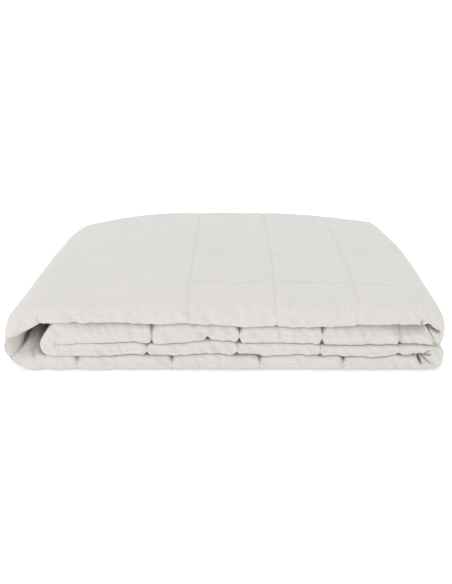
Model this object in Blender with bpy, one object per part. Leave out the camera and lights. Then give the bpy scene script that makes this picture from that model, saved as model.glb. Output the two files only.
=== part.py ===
"""Folded weighted blanket.

One quilted cloth, 1.5 m by 2.0 m, sewn through in squares of about 0.1 m. It is folded in half twice
along its length into a strip of four plies, 0.375 m deep. The strip is then folded in half twice more, so
four layers lie on each other. On the left an open, round spine joins the top and the bottom layer, with
the fold of the second and third layer inside it. On the right a closed fold joins the third and the
bottom layer, and above it the end of the top layer hangs down over the end of the second.

The strip is one solid. It is a loft along its own length: each station has a point on the cloth's face,
which shows on top, and one on its reverse, and a closed ring with a rounded front and back edge goes
through both. X runs along the front edge, Y to the back, Z up. The stack stands on Z = 0.
"""

from collections import namedtuple
from math import copysign, cos, exp, hypot, pi, radians, sin

import bmesh
import bpy
from mathutils import Matrix

# ---- driving sizes, in metres ----------------------------------------------------------------------
NAME = "quilted_blanket"
COLLECTION = "weighted_blanket"

DEPTH = 0.375            # a quarter of the blanket's width
GAP = 0.0010             # air between two layers that lie on each other

SQUARE = 0.100           # side of a sewn square
CROSS_SEAMS = (0.052, 0.150, 0.250, 0.350)     # rows of the sewn grid, from the front edge
SEAM_DRAW = 0.0018       # how far the thread draws each face in
SEAM_REACH = 0.0048      # how far beside the thread the face is drawn in
SEAM_PULL = 0.0022       # how far a seam's end is pulled back from the front and back edges
SQUARE_CROWN = 0.0012    # how much lower the rim of a square lies than its middle
DRAW_LIMIT = 0.4         # most that a face is drawn in, as a share of half the cloth's thickness
EDGE_LIMIT = 1.6         # most that an edge is rounded in, as a share of the same
FLOOR_SETTLE = 0.0003    # how far the stack's weight flattens its underside

CROWN = 0.090            # how much higher the stack is in its middle, as a share of its height
CROWN_SPREAD = 0.70      # under 1 brings the crown's rise nearer to the edges
LEFT_CROWN_LOSS = 0.50   # share of the crown that is gone at each side
RIGHT_CROWN_LOSS = 0.20
BACK_SLOPE = 0.030       # how much lower the stack is along its back, as a share of its height
LEFT_SINK = 0.150        # how much lower still at its back corners
RIGHT_SINK = 0.110
LEFT_TAPER = 0.0195      # how far each side is drawn in at the back
RIGHT_TAPER = 0.0138
LEFT_TAPER_BEND = 0.95   # 1 draws the side in evenly, more keeps it straight for longer
RIGHT_TAPER_BEND = 2.0
TAPER_START = 0.130      # how far from the middle the sides start to draw in
CROWN_MIDDLE = 0.050     # how far from the middle the crown starts to fall towards the sides
SINK_START = 0.45        # where the back starts to sink, as a share of the depth
HALF_WIDTH = 0.250
CORNER_SIZE = 0.050      # how far from the sides the back corners start to round
CORNER_TURN = 0.95       # share of the quarter turn that a back corner makes
CORNER_START = 0.270     # how far back the cloth stays straight at the sides

# Heights at the front of the lines between the layers, and of the top, at places along the front.
Level = namedtuple("Level", "x under_third under_second under_top top")
LEVELS = (
    Level(-0.210, 0.0224, 0.0346, 0.0602, 0.0835),
    Level(-0.150, 0.0198, 0.0352, 0.0614, 0.0840),
    Level(-0.100, 0.0212, 0.0360, 0.0605, 0.0845),
    Level(-0.050, 0.0219, 0.0360, 0.0616, 0.0850),
    Level(0.000, 0.0216, 0.0382, 0.0576, 0.0850),
    Level(0.050, 0.0204, 0.0353, 0.0563, 0.0850),
    Level(0.100, 0.0216, 0.0354, 0.0547, 0.0845),
    Level(0.150, 0.0194, 0.0340, 0.0570, 0.0840),
    Level(0.200, 0.0216, 0.0351, 0.0584, 0.0835),
    Level(0.240, 0.0210, 0.0352, 0.0593, 0.0830),
)

# The edges of a layer: how far they stand back at the front and at the back, how far in from them the
# cloth is rounded towards its face and towards its reverse, and how square (2 is an ellipse).
Rim = namedtuple("Rim", "front back face_depth face_square reverse_depth reverse_square")

# The layers: the lines above and below, the edges, and where the sewn grid crosses.
Layer = namedtuple("Layer", "above below rim seams")
TOP_RIM = Rim(0.0000, 0.0000, 0.018, 2.6, 0.005, 5.0)
SECOND_RIM = Rim(0.0020, 0.0050, 0.005, 5.0, 0.006, 5.0)
THIRD_RIM = Rim(0.0015, 0.0020, 0.005, 5.0, 0.005, 5.0)
BOTTOM_RIM = Rim(0.0000, 0.0030, 0.005, 3.0, 0.005, 5.0)
TOP = Layer("top", "under_top", TOP_RIM, (-0.149, -0.039, 0.061, 0.153))
SECOND = Layer("under_top", "under_second", SECOND_RIM, (-0.180, -0.081, 0.018, 0.112, 0.201))
THIRD = Layer("under_second", "under_third", THIRD_RIM, (-0.088, 0.016, 0.112, 0.203))
BOTTOM = Layer("under_third", "floor", BOTTOM_RIM, (-0.170, -0.059, 0.041, 0.139))

# The folds: the layers that each joins, the side it is on (-1 left, 1 right), where it starts, how far
# its outside and its inside reach past that, the height where it is widest, how square its outside is
# below and above that, and the angles where the sewn grid crosses it, from -90 at its foot to 90.
Fold = namedtuple("Fold", "lower upper side x outside inside widest below above seams")
SPINE = Fold(BOTTOM, TOP, -1, -0.2085, 0.0418, 0.0315, 0.0390, 3.3, 2.2, (-36, 47))
LOWER_FOLD = Fold(BOTTOM, THIRD, 1, 0.2190, 0.0330, 0.0006, 0.0180, 4.0, 3.4, (-64,))
INNER_FOLD = Fold(THIRD, SECOND, -1, -0.1915, 0.0180, 0.0006, 0.0340, 2.6, 2.0, ())

# The end of the top layer hangs down over the end of the second. Its face is bent like a fold.
HANGING_X = 0.2225       # where it starts to bend
HANGING_REACH = 0.0285   # how far its face reaches past that
HANGING_WIDEST = 0.0520  # height where its face is upright
HANGING_FOOT = 0.0355    # height that the bend of its face heads for
HANGING_BELOW = 3.0      # how square the bend is below the widest place
HANGING_ANGLES = (72, 54, 36, 18, 0, -16, -32)
HANGING_TIP_X = 0.2415   # where its reverse ends
HANGING_TIP_Z = 0.0410
HANGING_SAG = 1.4        # over 1, its reverse drops later than it runs out
TIP_ROUNDING = 0.0035

# The end of the second layer slants under it: points of its upper and of its lower side.
Slant = namedtuple("Slant", "upper_x upper_z lower_x lower_z")
SECOND_END_X = 0.2200
SECOND_END = (
    Slant(0.2257, 0.0552, 0.2297, 0.0358),
    Slant(0.2310, 0.0490, 0.2357, 0.0360),
    Slant(0.2358, 0.0424, 0.2386, 0.0368),
)

FINE_STEP = 0.0070       # spacing of the points beside a seam
COARSE_STEP = 0.034      # spacing of the points between seams
CROSS_STEP = 0.045       # the same from front to back
ARC_STEP = 14.0          # spacing of the stations round a fold, in degrees
ARC_FINE_STEP = 9.0      # the same beside a seam
EDGE_ANGLES = (26, 50, 72)             # points round an edge, from its middle to a face
EDGE_ROOM = 0.024        # depth at the front and back that is kept for the rounded edges
END_STEPS = (0.60, 0.92)               # stations round the strip's ends, as shares of the rounding

FABRIC_COLOUR = (0.745, 0.720, 0.684, 1.0)
FABRIC_ROUGHNESS = 0.92

# A station: a point on the cloth's face and on its reverse, each as (x, z), its edges, and whether the
# sewn grid crosses it.
Station = namedtuple("Station", "face reverse rim sewn")


# ---- helpers ---------------------------------------------------------------------------------------
def blend(start, end, share):
    return start + (end - start) * share


def blend_rims(start, end, share):
    return Rim(*(blend(a, b, share) for a, b in zip(start, end)))


def ramp(value, start, end):
    """Smooth rise from 0 at start to 1 at end."""
    t = min(max((value - start) / (end - start), 0.0), 1.0)
    return t * t * (3 - 2 * t)


def round_power(value, fullness):
    """A sine or cosine, pushed out towards a square."""
    return copysign(abs(value) ** (2 / fullness), value)


def height(line, x):
    """Height of a line between the layers at x, smooth from one row of LEVELS to the next."""
    if line == "floor":
        return 0.0
    last = len(LEVELS) - 1
    index = max(i for i in range(last) if i == 0 or x > LEVELS[i].x)
    rows = [LEVELS[min(max(index + step, 0), last)] for step in (-1, 0, 1, 2)]
    before, low, high, after = (getattr(row, line) for row in rows)
    t = min(max((x - rows[1].x) / (rows[2].x - rows[1].x), 0.0), 1.0)
    rise = (high - before) * t
    bend = (2 * before - 5 * low + 4 * high - after) * t**2
    twist = (3 * low - before - 3 * high + after) * t**3
    return low + 0.5 * (rise + bend + twist)


def layer_faces(layer, x):
    """Heights of a layer's upper and lower side at x."""
    upper = height(layer.above, x) - (0.0 if layer.above == "top" else GAP / 2)
    lower = height(layer.below, x) + (0.0 if layer.below == "floor" else GAP / 2)
    return upper, lower


def places(start, end, seams, beside, spacing):
    """Rising places from start to end: each seam, one beside it on each side, and even steps between."""
    fixed = [start]
    for seam in seams:
        fixed += [seam - beside, seam, seam + beside]
    fixed.append(end)
    found = []
    for low, high in zip(fixed, fixed[1:]):
        count = max(1, round((high - low) / spacing))
        found += [low + (high - low) * step / count for step in range(count)]
    return found + [end]


# ---- the strip's route: runs, folds and ends -------------------------------------------------------
def run(layer, start, end):
    """Stations along a straight layer, from start to end."""
    stations = []
    for x in places(min(start, end), max(start, end), layer.seams, FINE_STEP, COARSE_STEP):
        upper, lower = layer_faces(layer, x)
        face, reverse = (upper, lower) if layer in (TOP, THIRD) else (lower, upper)
        stations.append(Station((x, face), (x, reverse), layer.rim, x in layer.seams))
    return stations if start < end else stations[::-1]


def arc_point(x, reach, foot, widest, head, below, above, angle):
    """Point on a bend, given the heights of its foot, its widest place and its head."""
    fullness = above if angle > 0 else below
    tall = head - widest if angle > 0 else widest - foot
    out = reach * abs(cos(radians(angle))) ** (2 / fullness)
    return x + out, widest + tall * round_power(sin(radians(angle)), fullness)


def fold_stations(fold):
    """Stations round a fold, from its foot to its head, without those that its layers already have."""
    head, inner_head = layer_faces(fold.upper, fold.x)
    inner_foot, foot = layer_faces(fold.lower, fold.x)
    middle = (inner_foot + inner_head) / 2
    out, within = fold.side * fold.outside, fold.side * fold.inside
    stations = []
    for angle in places(-90.0, 90.0, fold.seams, ARC_FINE_STEP, ARC_STEP)[1:-1]:
        rim = blend_rims(fold.lower.rim, fold.upper.rim, (angle + 90) / 180)
        outside = arc_point(fold.x, out, foot, fold.widest, head, fold.below, fold.above, angle)
        inside = arc_point(fold.x, within, inner_foot, middle, inner_head, 2, 2, angle)
        face, reverse = (inside, outside) if fold is INNER_FOLD else (outside, inside)
        stations.append(Station(face, reverse, rim, angle in fold.seams))
    return stations


def hanging_end():
    """Stations of the top layer's end, from where the layer stops down to its tip."""
    upper, lower = layer_faces(TOP, HANGING_X)
    stations = []
    for angle in HANGING_ANGLES:
        share = (90 - angle) / (90 - HANGING_ANGLES[-1])
        face = arc_point(
            HANGING_X, HANGING_REACH, HANGING_FOOT, HANGING_WIDEST, upper, HANGING_BELOW, 2, angle
        )
        reverse = (
            blend(HANGING_X, HANGING_TIP_X, share),
            blend(lower, HANGING_TIP_Z, share**HANGING_SAG),
        )
        stations.append(Station(face, reverse, TOP.rim, False))
    return stations


def slanting_end():
    """Stations of the second layer's end, under the hanging one."""
    return [
        Station((row.lower_x, row.lower_z), (row.upper_x, row.upper_z), SECOND.rim, False)
        for row in SECOND_END
    ]


def rounded_tip(before, last):
    """Stations that close a strip's end: on past the last one, ever thinner."""
    heading = [(last.face[i] + last.reverse[i] - before.face[i] - before.reverse[i]) / 2 for i in (0, 1)]
    length = hypot(*heading)
    stations = []
    for share in END_STEPS:
        narrow = (1 - share * share) ** 0.5
        sides = []
        for near, far in ((last.face, last.reverse), (last.reverse, last.face)):
            sides.append(
                tuple(
                    blend((near[i] + far[i]) / 2, near[i], narrow)
                    + heading[i] / length * TIP_ROUNDING * share
                    for i in (0, 1)
                )
            )
        stations.append(Station(sides[0], sides[1], last.rim, False))
    return stations


def strip_stations():
    """Every station of the strip, from the hanging end to the end of the second layer."""
    hanging = hanging_end()
    slanting = slanting_end()
    hanging_tip = rounded_tip(hanging[-2], hanging[-1])
    slanting_tip = rounded_tip(slanting[-2], slanting[-1])
    return (
        hanging_tip[::-1]
        + hanging[::-1]
        + run(TOP, HANGING_X, SPINE.x)
        + fold_stations(SPINE)[::-1]
        + run(BOTTOM, SPINE.x, LOWER_FOLD.x)
        + fold_stations(LOWER_FOLD)
        + run(THIRD, LOWER_FOLD.x, INNER_FOLD.x)
        + fold_stations(INNER_FOLD)
        + run(SECOND, INNER_FOLD.x, SECOND_END_X)
        + slanting
        + slanting_tip
    )


# ---- the ring round the strip, and the shape of the whole stack ------------------------------------
def ring_rows():
    """Points round the strip: place from the front edge, height share, and depth share of the edge."""
    front = [(0.0, sin(radians(a)), cos(radians(a))) for a in EDGE_ANGLES]
    back = [(DEPTH, sin(radians(a)), -cos(radians(a))) for a in EDGE_ANGLES[::-1]]
    rows = places(EDGE_ROOM, DEPTH - EDGE_ROOM, CROSS_SEAMS[:-1], FINE_STEP, CROSS_STEP)
    over = front + [(y, 1.0, 0.0) for y in rows] + back
    under = [(y, -tall, deep) for y, tall, deep in reversed(over)]
    return [(0.0, 0.0, 1.0)] + over + [(DEPTH, 0.0, -1.0)] + under


def seam_pinch(distance):
    """1 on a seam, falling to 0 beside it."""
    return exp(-((distance / SEAM_REACH) ** 2))


def square_rim(distance):
    """0 in the middle of a square, rising to 1 at its seams."""
    return max(0.0, 1 - distance / (SQUARE / 2)) ** 2


def stack_shape(x, y, z):
    """The whole stack's own form: crowned in the middle, lower and narrower towards the back."""
    share = min(max(y / DEPTH, 0.0), 1.0)
    sideways = ramp(abs(x), CROWN_MIDDLE, HALF_WIDTH)
    if x < 0:
        loss, corner_sink, taper = LEFT_CROWN_LOSS, LEFT_SINK, LEFT_TAPER * share**LEFT_TAPER_BEND
    else:
        loss, corner_sink, taper = RIGHT_CROWN_LOSS, RIGHT_SINK, RIGHT_TAPER * share**RIGHT_TAPER_BEND
    crown = CROWN * sin(pi * share) ** CROWN_SPREAD * (1 - loss * sideways)
    sink = (BACK_SLOPE + corner_sink * sideways) * ramp(share, SINK_START, 1.0)
    drawn_in = taper * max(0.0, abs(x) - TAPER_START) / (HALF_WIDTH - TAPER_START)
    return x - copysign(drawn_in, x), y, z * (1 + crown - sink)


def back_edge(x, stands_back):
    """How far back the cloth reaches at x, with the corners rounded."""
    inset = min(max(0.0, abs(x) - (HALF_WIDTH - CORNER_SIZE)) / CORNER_SIZE, CORNER_TURN)
    return DEPTH - stands_back - CORNER_SIZE * (1 - (1 - inset**2) ** 0.5)


def remap(y, front, back):
    """Move a place between the front and back edges with those edges, keeping the middle."""
    if y < SQUARE / 2:
        return blend(front, SQUARE / 2, y / (SQUARE / 2))
    if y > CORNER_START:
        return blend(CORNER_START, back, (y - CORNER_START) / (DEPTH - CORNER_START))
    return y


def ring_points(station, along, along_rim, rows):
    """The ring of points at one station."""
    middle = [(station.face[i] + station.reverse[i]) / 2 for i in (0, 1)]
    half = [(station.face[i] - station.reverse[i]) / 2 for i in (0, 1)]
    thick = hypot(*half)
    rim = station.rim
    front = rim.front + SEAM_PULL * along
    back = back_edge(middle[0], rim.back) - SEAM_PULL * along
    points = []
    for y, tall, deep in rows:
        pinch, low = along, along_rim
        if deep == 0.0:
            distance = min(abs(y - seam) for seam in CROSS_SEAMS)
            pinch = max(along, seam_pinch(distance))
            low = max(along_rim, square_rim(distance))
        if tall > 0 and station.face[1] < FLOOR_SETTLE:
            low = 0.0
        depth, square = (
            (rim.face_depth, rim.face_square) if tall > 0 else (rim.reverse_depth, rim.reverse_square)
        )
        drawn = min(SEAM_DRAW * pinch + SQUARE_CROWN * low, DRAW_LIMIT * thick)
        share = round_power(tall, square) * (1 - drawn / thick)
        inset = min(depth, EDGE_LIMIT * thick) * (1 - abs(deep) ** (2 / square)) if deep else 0.0
        place = remap(y, front, back) + copysign(inset, deep)
        x, z = (middle[i] + half[i] * share for i in (0, 1))
        points.append(stack_shape(x, place, max(z - FLOOR_SETTLE, 0.0)))
    return points


# ---- the solid -------------------------------------------------------------------------------------
def seam_distances(stations):
    """For each station, the distance along the strip to the nearest seam."""
    middles = [[(s.face[i] + s.reverse[i]) / 2 for i in (0, 1)] for s in stations]
    lengths = [0.0]
    for (x0, z0), (x1, z1) in zip(middles, middles[1:]):
        lengths.append(lengths[-1] + hypot(x1 - x0, z1 - z0))
    sewn = [length for length, station in zip(lengths, stations) if station.sewn]
    return [min(abs(length - seam) for seam in sewn) for length in lengths]


def close_end(shell, ring):
    """Close the strip's end, row by row from its face to its reverse."""
    middle = len(ring) // 2
    shell.faces.new((ring[0], ring[1], ring[-1]))
    for index in range(1, middle - 1):
        shell.faces.new((ring[index], ring[index + 1], ring[-index - 1], ring[-index]))
    shell.faces.new((ring[middle - 1], ring[middle], ring[middle + 1]))


def blanket_mesh():
    """Loft the rings into one closed mesh."""
    stations = strip_stations()
    rows = ring_rows()
    shell = bmesh.new()
    rings = []
    for station, distance in zip(stations, seam_distances(stations)):
        points = ring_points(station, seam_pinch(distance), square_rim(distance), rows)
        rings.append([shell.verts.new(point) for point in points])
    for ring, following in zip(rings, rings[1:]):
        for index in range(len(rows)):
            after = (index + 1) % len(rows)
            shell.faces.new((ring[index], ring[after], following[after], following[index]))
    close_end(shell, rings[0])
    close_end(shell, rings[-1])
    bmesh.ops.recalc_face_normals(shell, faces=shell.faces)
    mesh = bpy.data.meshes.new(NAME)
    shell.to_mesh(mesh)
    shell.free()
    return mesh


def centre(mesh):
    """Put the middle of the mesh's box over the origin."""
    xs = [vertex.co.x for vertex in mesh.vertices]
    ys = [vertex.co.y for vertex in mesh.vertices]
    shift = (-(min(xs) + max(xs)) / 2, -(min(ys) + max(ys)) / 2, 0.0)
    mesh.transform(Matrix.Translation(shift))


def fabric():
    """Matt, off-white plain-woven cotton."""
    material = bpy.data.materials.new("off_white_fabric")
    material.use_nodes = True
    shader = material.node_tree.nodes["Principled BSDF"]
    shader.inputs["Base Color"].default_value = FABRIC_COLOUR
    shader.inputs["Roughness"].default_value = FABRIC_ROUGHNESS
    shader.inputs["Metallic"].default_value = 0.0
    return material


def main():
    for old in list(bpy.data.objects):
        bpy.data.objects.remove(old)
    mesh = blanket_mesh()
    centre(mesh)
    mesh.materials.append(fabric())
    mesh.shade_smooth()
    blanket = bpy.data.objects.new(NAME, mesh)
    collection = bpy.data.collections.new(COLLECTION)
    bpy.context.scene.collection.children.link(collection)
    collection.objects.link(blanket)


main()
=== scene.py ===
"""Looks of a folded weighted blanket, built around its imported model.

The blanket is one quilted cloth, folded into a strip of four plies and then into four layers. Its cloth
is lofted along the strip as in the solid, only finer: the sewn grid is drawn in as a narrow line with
puckers beside it, the layers' front edges are uneven, and creases run where the cloth is bent hardest.
Sewing thread lies in the grid. A pale floor, soft lights and a camera complete the scene.
"""

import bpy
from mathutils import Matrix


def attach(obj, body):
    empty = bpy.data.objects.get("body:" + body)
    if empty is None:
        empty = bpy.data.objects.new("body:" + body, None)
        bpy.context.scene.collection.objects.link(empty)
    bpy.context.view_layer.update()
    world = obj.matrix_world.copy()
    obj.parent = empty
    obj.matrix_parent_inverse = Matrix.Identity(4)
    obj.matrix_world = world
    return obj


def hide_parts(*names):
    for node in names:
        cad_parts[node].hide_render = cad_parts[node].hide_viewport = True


bl_info = {
    "name": "Folded Weighted Blanket",
    "version": (1, 0, 0),
    "blender": (4, 5, 0),
    "location": "View3D > Sidebar > Blanket",
    "description": "Makes a folded, quilted weighted blanket and the studio stage it is shown on",
    "category": "Object",
}

from collections import namedtuple
from functools import partial, reduce
from math import copysign, cos, hypot, inf, pi, radians, sin

import bpy
import numpy as np
from mathutils import Vector, noise

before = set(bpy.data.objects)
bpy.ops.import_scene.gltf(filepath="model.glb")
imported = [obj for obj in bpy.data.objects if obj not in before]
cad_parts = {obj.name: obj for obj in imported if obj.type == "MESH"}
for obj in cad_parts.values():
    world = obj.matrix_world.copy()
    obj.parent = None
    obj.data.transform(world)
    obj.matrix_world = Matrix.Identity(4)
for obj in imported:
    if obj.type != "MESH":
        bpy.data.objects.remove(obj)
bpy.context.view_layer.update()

# ---- the stack's own form, in metres, as in the solid ----------------------------------------------
DEPTH = 0.375            # a quarter of the blanket's width
HALF_WIDTH = 0.250
SQUARE = 0.100           # side of a sewn square
CROSS_SEAMS = (0.052, 0.150, 0.250, 0.350)     # rows of the sewn grid, from the front edge
DRAW_LIMIT = 0.4         # most that a face is drawn in, as a share of half the cloth's thickness
EDGE_LIMIT = 1.6         # most that an edge is rounded in, as a share of the same
FLOOR_SETTLE = 0.0003    # how far the stack's weight flattens its underside

CROWN = 0.090            # how much higher the stack is in its middle, as a share of its height
CROWN_SPREAD = 0.70      # under 1 brings the crown's rise nearer to the edges
CROWN_MIDDLE = 0.050     # how far from the middle the crown starts to fall towards the sides
LEFT_CROWN_LOSS = 0.50   # share of the crown that is gone at each side
RIGHT_CROWN_LOSS = 0.20
BACK_SLOPE = 0.030       # how much lower the stack is along its back, as a share of its height
SINK_START = 0.45        # where that starts, as a share of the depth
LEFT_SINK = 0.150        # how much lower still at its back corners
RIGHT_SINK = 0.110
LEFT_TAPER = 0.0195      # how far each side is drawn in at the back
RIGHT_TAPER = 0.0138
LEFT_TAPER_BEND = 0.62   # 1 draws the side in evenly, more keeps it straight for longer
RIGHT_TAPER_BEND = 1.6
TAPER_START = 0.130      # how far from the middle the sides start to draw in
LEFT_WAIST = 0.0032      # how much more the left side is drawn in near mid-depth
WAIST_PLACE = 0.190
WAIST_REACH = 0.070
CORNER_SIZE = 0.050      # how far from the sides the back corners start to round
CORNER_TURN = 0.95       # share of the quarter turn that a back corner makes
CORNER_START = 0.270     # how far back the cloth stays straight at the sides
LEFT_CORNER_DIP = 0.0045  # how far each back corner sinks
RIGHT_CORNER_DIP = 0.0020
DIP_START = 0.150        # how far from the middle that starts
DIP_DEPTH = 0.300        # and how far back

# Heights at the front of the lines between the layers, and of the top, at places along the front.
Level = namedtuple("Level", "x under_third under_second under_top top")
LEVELS = (
    Level(-0.210, 0.0216, 0.0341, 0.0588, 0.0835),
    Level(-0.196, 0.0197, 0.0337, 0.0589, 0.0836),
    Level(-0.182, 0.0191, 0.0331, 0.0600, 0.0838),
    Level(-0.168, 0.0188, 0.0338, 0.0604, 0.0839),
    Level(-0.155, 0.0185, 0.0342, 0.0592, 0.0840),
    Level(-0.141, 0.0181, 0.0342, 0.0595, 0.0841),
    Level(-0.128, 0.0186, 0.0346, 0.0597, 0.0842),
    Level(-0.114, 0.0197, 0.0350, 0.0596, 0.0844),
    Level(-0.101, 0.0205, 0.0360, 0.0586, 0.0845),
    Level(-0.087, 0.0195, 0.0340, 0.0580, 0.0846),
    Level(-0.074, 0.0192, 0.0337, 0.0576, 0.0848),
    Level(-0.060, 0.0190, 0.0334, 0.0583, 0.0849),
    Level(-0.046, 0.0197, 0.0342, 0.0587, 0.0850),
    Level(-0.033, 0.0202, 0.0365, 0.0576, 0.0850),
    Level(-0.019, 0.0210, 0.0374, 0.0571, 0.0850),
    Level(-0.006, 0.0210, 0.0373, 0.0568, 0.0850),
    Level(0.008, 0.0196, 0.0362, 0.0555, 0.0850),
    Level(0.021, 0.0188, 0.0346, 0.0546, 0.0850),
    Level(0.035, 0.0186, 0.0340, 0.0545, 0.0850),
    Level(0.048, 0.0177, 0.0342, 0.0546, 0.0850),
    Level(0.062, 0.0186, 0.0347, 0.0548, 0.0849),
    Level(0.076, 0.0196, 0.0336, 0.0543, 0.0848),
    Level(0.089, 0.0198, 0.0328, 0.0539, 0.0846),
    Level(0.103, 0.0190, 0.0329, 0.0539, 0.0845),
    Level(0.116, 0.0185, 0.0315, 0.0548, 0.0843),
    Level(0.130, 0.0194, 0.0315, 0.0546, 0.0842),
    Level(0.144, 0.0178, 0.0313, 0.0552, 0.0841),
    Level(0.157, 0.0178, 0.0309, 0.0565, 0.0839),
    Level(0.171, 0.0169, 0.0311, 0.0566, 0.0838),
    Level(0.184, 0.0169, 0.0313, 0.0570, 0.0836),
    Level(0.198, 0.0193, 0.0313, 0.0570, 0.0835),
    Level(0.211, 0.0187, 0.0317, 0.0567, 0.0834),
    Level(0.225, 0.0193, 0.0321, 0.0567, 0.0832),
    Level(0.240, 0.0193, 0.0328, 0.0572, 0.0830),
)
LINE_PARTS = ("second", "third", "inner_fold")      # whose edges open the lines between the layers unevenly
LINE_PLACES = (-0.190, -0.120, 0.2218, 0.2380)      # how far the lines open, at places along the front
LINE_SHARES = (0.25, 1.0, 1.0, 0.2)
TOP_LINE_PLACES = (0.165, 0.205)                    # the top one opens wider at its right end
TOP_LINE_SHARES = (1.0, 4.0)
LINE_NOISE = {"under_third": 3.0, "under_second": 7.0, "under_top": 11.0}

# The edges of a layer: how far they stand back at the front and at the back, how far in from them the
# cloth is rounded towards its face and towards its reverse, how square (2 is an ellipse), where between its
# reverse (-1) and its face (1) the edge stands out furthest, and how much the reverse swells behind it.
Rim = namedtuple("Rim", "front back face_depth face_square reverse_depth reverse_square ridge swell")
# A seam of the sewn grid where it runs over a front edge: its place, how clearly it shows there, and how
# far its ends open into a pit at the line above and at the line below.
Seam = namedtuple("Seam", "x line over under")
# The layers: the lines above and below, the edges, and where the sewn grid crosses.
Layer = namedtuple("Layer", "name above below rim seams")
TOP = Layer(
    "top", "top", "under_top", Rim(0.0, 0.0, 0.018, 2.6, 0.007, 3.2, 0.0, 0.0),
    (
        Seam(-0.149, 0.30, 0.0, 0.1),
        Seam(-0.039, 0.9, 0.0, 0.05),
        Seam(0.061, 0.9, 0.0, 0.15),
        Seam(0.153, 1.0, 0.0, 0.06),
    ),
)
SECOND = Layer(
    "second", "under_top", "under_second", Rim(0.0020, 0.0050, 0.0050, 3.6, 0.008, 3.2, 0.0, 0.0),
    (
        Seam(-0.1865, 0.2, 0.0, 0.0),
        Seam(-0.081, 0.9, 1.4, 0.3),
        Seam(-0.0167, 0.0, 0.0, 0.9),
        Seam(0.0193, 0.5, 2.4, 0.8),
        Seam(0.1138, 0.35, 2.2, 0.7),
        Seam(0.2030, 0.4, 0.6, 0.35),
    ),
)
THIRD = Layer(
    "third", "under_second", "under_third", Rim(0.0015, 0.0020, 0.0050, 3.6, 0.006, 3.3, 0.0, 0.0),
    (
        Seam(-0.0870, 0.3, 0.6, 0.9),
        Seam(0.0168, 0.3, 0.4, 1.2),
        Seam(0.1118, 0.3, 0.2, 0.9),
        Seam(0.2030, 0.2, 0.1, 0.7),
    ),
)
BOTTOM = Layer(
    "bottom", "under_third", "floor", Rim(0.0, 0.0030, 0.012, 2.2, 0.006, 3.3, 0.0, 0.0),
    (
        Seam(-0.1685, 0.2, 1.2, 0.1),
        Seam(-0.0583, 0.3, 1.5, 0.2),
        Seam(0.0425, 0.3, 1.8, 0.1),
        Seam(0.1388, 0.3, 2.0, 0.2),
    ),
)

# How far the second layer stands back from the top one, and how much more its upper half leans back, at
# places along the front.
SECOND_PLACES, SECOND_SETBACK, SECOND_LEAN = zip(
    (-0.1915, 0.0, 0.006),
    (-0.175, 0.0, 0.012),
    (-0.15, 0.0, 0.012),
    (-0.12, 0.0, 0.008),
    (-0.10, 0.0, 0.005),
    (-0.081, 0.0, 0.008),
    (-0.06, 0.0, 0.003),
    (0.00, 0.0, 0.001),
    (0.06, 0.0005, 0.001),
    (0.10, 0.001, 0.003),
    (0.13, 0.001, 0.004),
    (0.17, 0.002, 0.009),
    (0.195, 0.0025, 0.014),
    (0.215, 0.003, 0.014),
)
LEAN_SOFTENS = 130.0     # how much rounder the edge gets with it

# A bend: how far it reaches, the height where it is widest, how square it is below and above that. A fold:
# the layers that it joins, the side it is on (-1 left, 1 right), where it starts, its outside and its
# inside, where the sewn grid crosses it as (angle from -90 at its foot to 90, how clearly it shows), the
# step from one station to the next, and its edges at some angles.
Bend = namedtuple("Bend", "reach widest below above")
Fold = namedtuple("Fold", "name lower upper side x outer inner seams step rims")
SPINE = Fold(
    "spine", BOTTOM, TOP, -1, -0.2085,
    Bend(0.0424, 0.0405, 2.6, 2.2), Bend(0.0300, 0.0405, 3.0, 1.08), ((-32, 0.5), (47, 0.0)), 0.0020,
    (
        (-90, BOTTOM.rim),
        (-84, Rim(0.0, 0.0030, 0.010, 2.4, 0.009, 2.8, 0.0, 0.007)),
        (-72, Rim(0.0, 0.0030, 0.008, 2.6, 0.012, 2.4, 0.1, 0.015)),
        (-45, Rim(0.0, 0.0020, 0.010, 2.2, 0.022, 2.0, 0.5, 0.014)),
        (-32, Rim(0.0, 0.0020, 0.010, 2.2, 0.022, 2.0, 0.6, 0.0)),
        (-14, Rim(0.0, 0.0010, 0.012, 2.2, 0.021, 1.7, 0.85, 0.005)),
        (-6, Rim(0.0, 0.0010, 0.012, 2.2, 0.021, 1.4, 0.7, 0.006)),
        (2, Rim(0.0, 0.0010, 0.012, 2.2, 0.021, 1.2, 0.0, 0.006)),
        (10, Rim(0.0, 0.0010, 0.013, 2.3, 0.016, 1.3, -0.4, 0.004)),
        (20, Rim(0.0, 0.0010, 0.014, 2.3, 0.010, 1.8, -0.5, 0.002)),
        (34, Rim(0.0, 0.0010, 0.014, 2.3, 0.009, 2.0, -0.2, 0.0)),
        (55, Rim(0.0, 0.0, 0.016, 2.4, 0.005, 3.2, 0.0, 0.0)),
        (90, TOP.rim),
    ),
)
LOWER_FOLD = Fold(
    "lower_fold", BOTTOM, THIRD, 1, 0.2218,
    Bend(0.0333, 0.0180, 5.5, 3.2), Bend(0.0006, 0.0207, 2.0, 2.0), ((-64, 0.3),), 0.0011,
    ((-90, BOTTOM.rim), (90, THIRD.rim)),
)
INNER_FOLD = Fold(
    "inner_fold", THIRD, SECOND, -1, -0.1915,
    Bend(0.0181, 0.0350, 2.7, 1.30), Bend(0.0006, 0.0342, 2.0, 2.0), (), 0.0016,
    ((-90, THIRD.rim), (90, Rim(0.0020, 0.0050, 0.0050, 3.6, 0.014, 2.4, 0.0, 0.0))),
)
ARC_SAMPLES = 20001      # points that a bend is measured with
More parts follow.
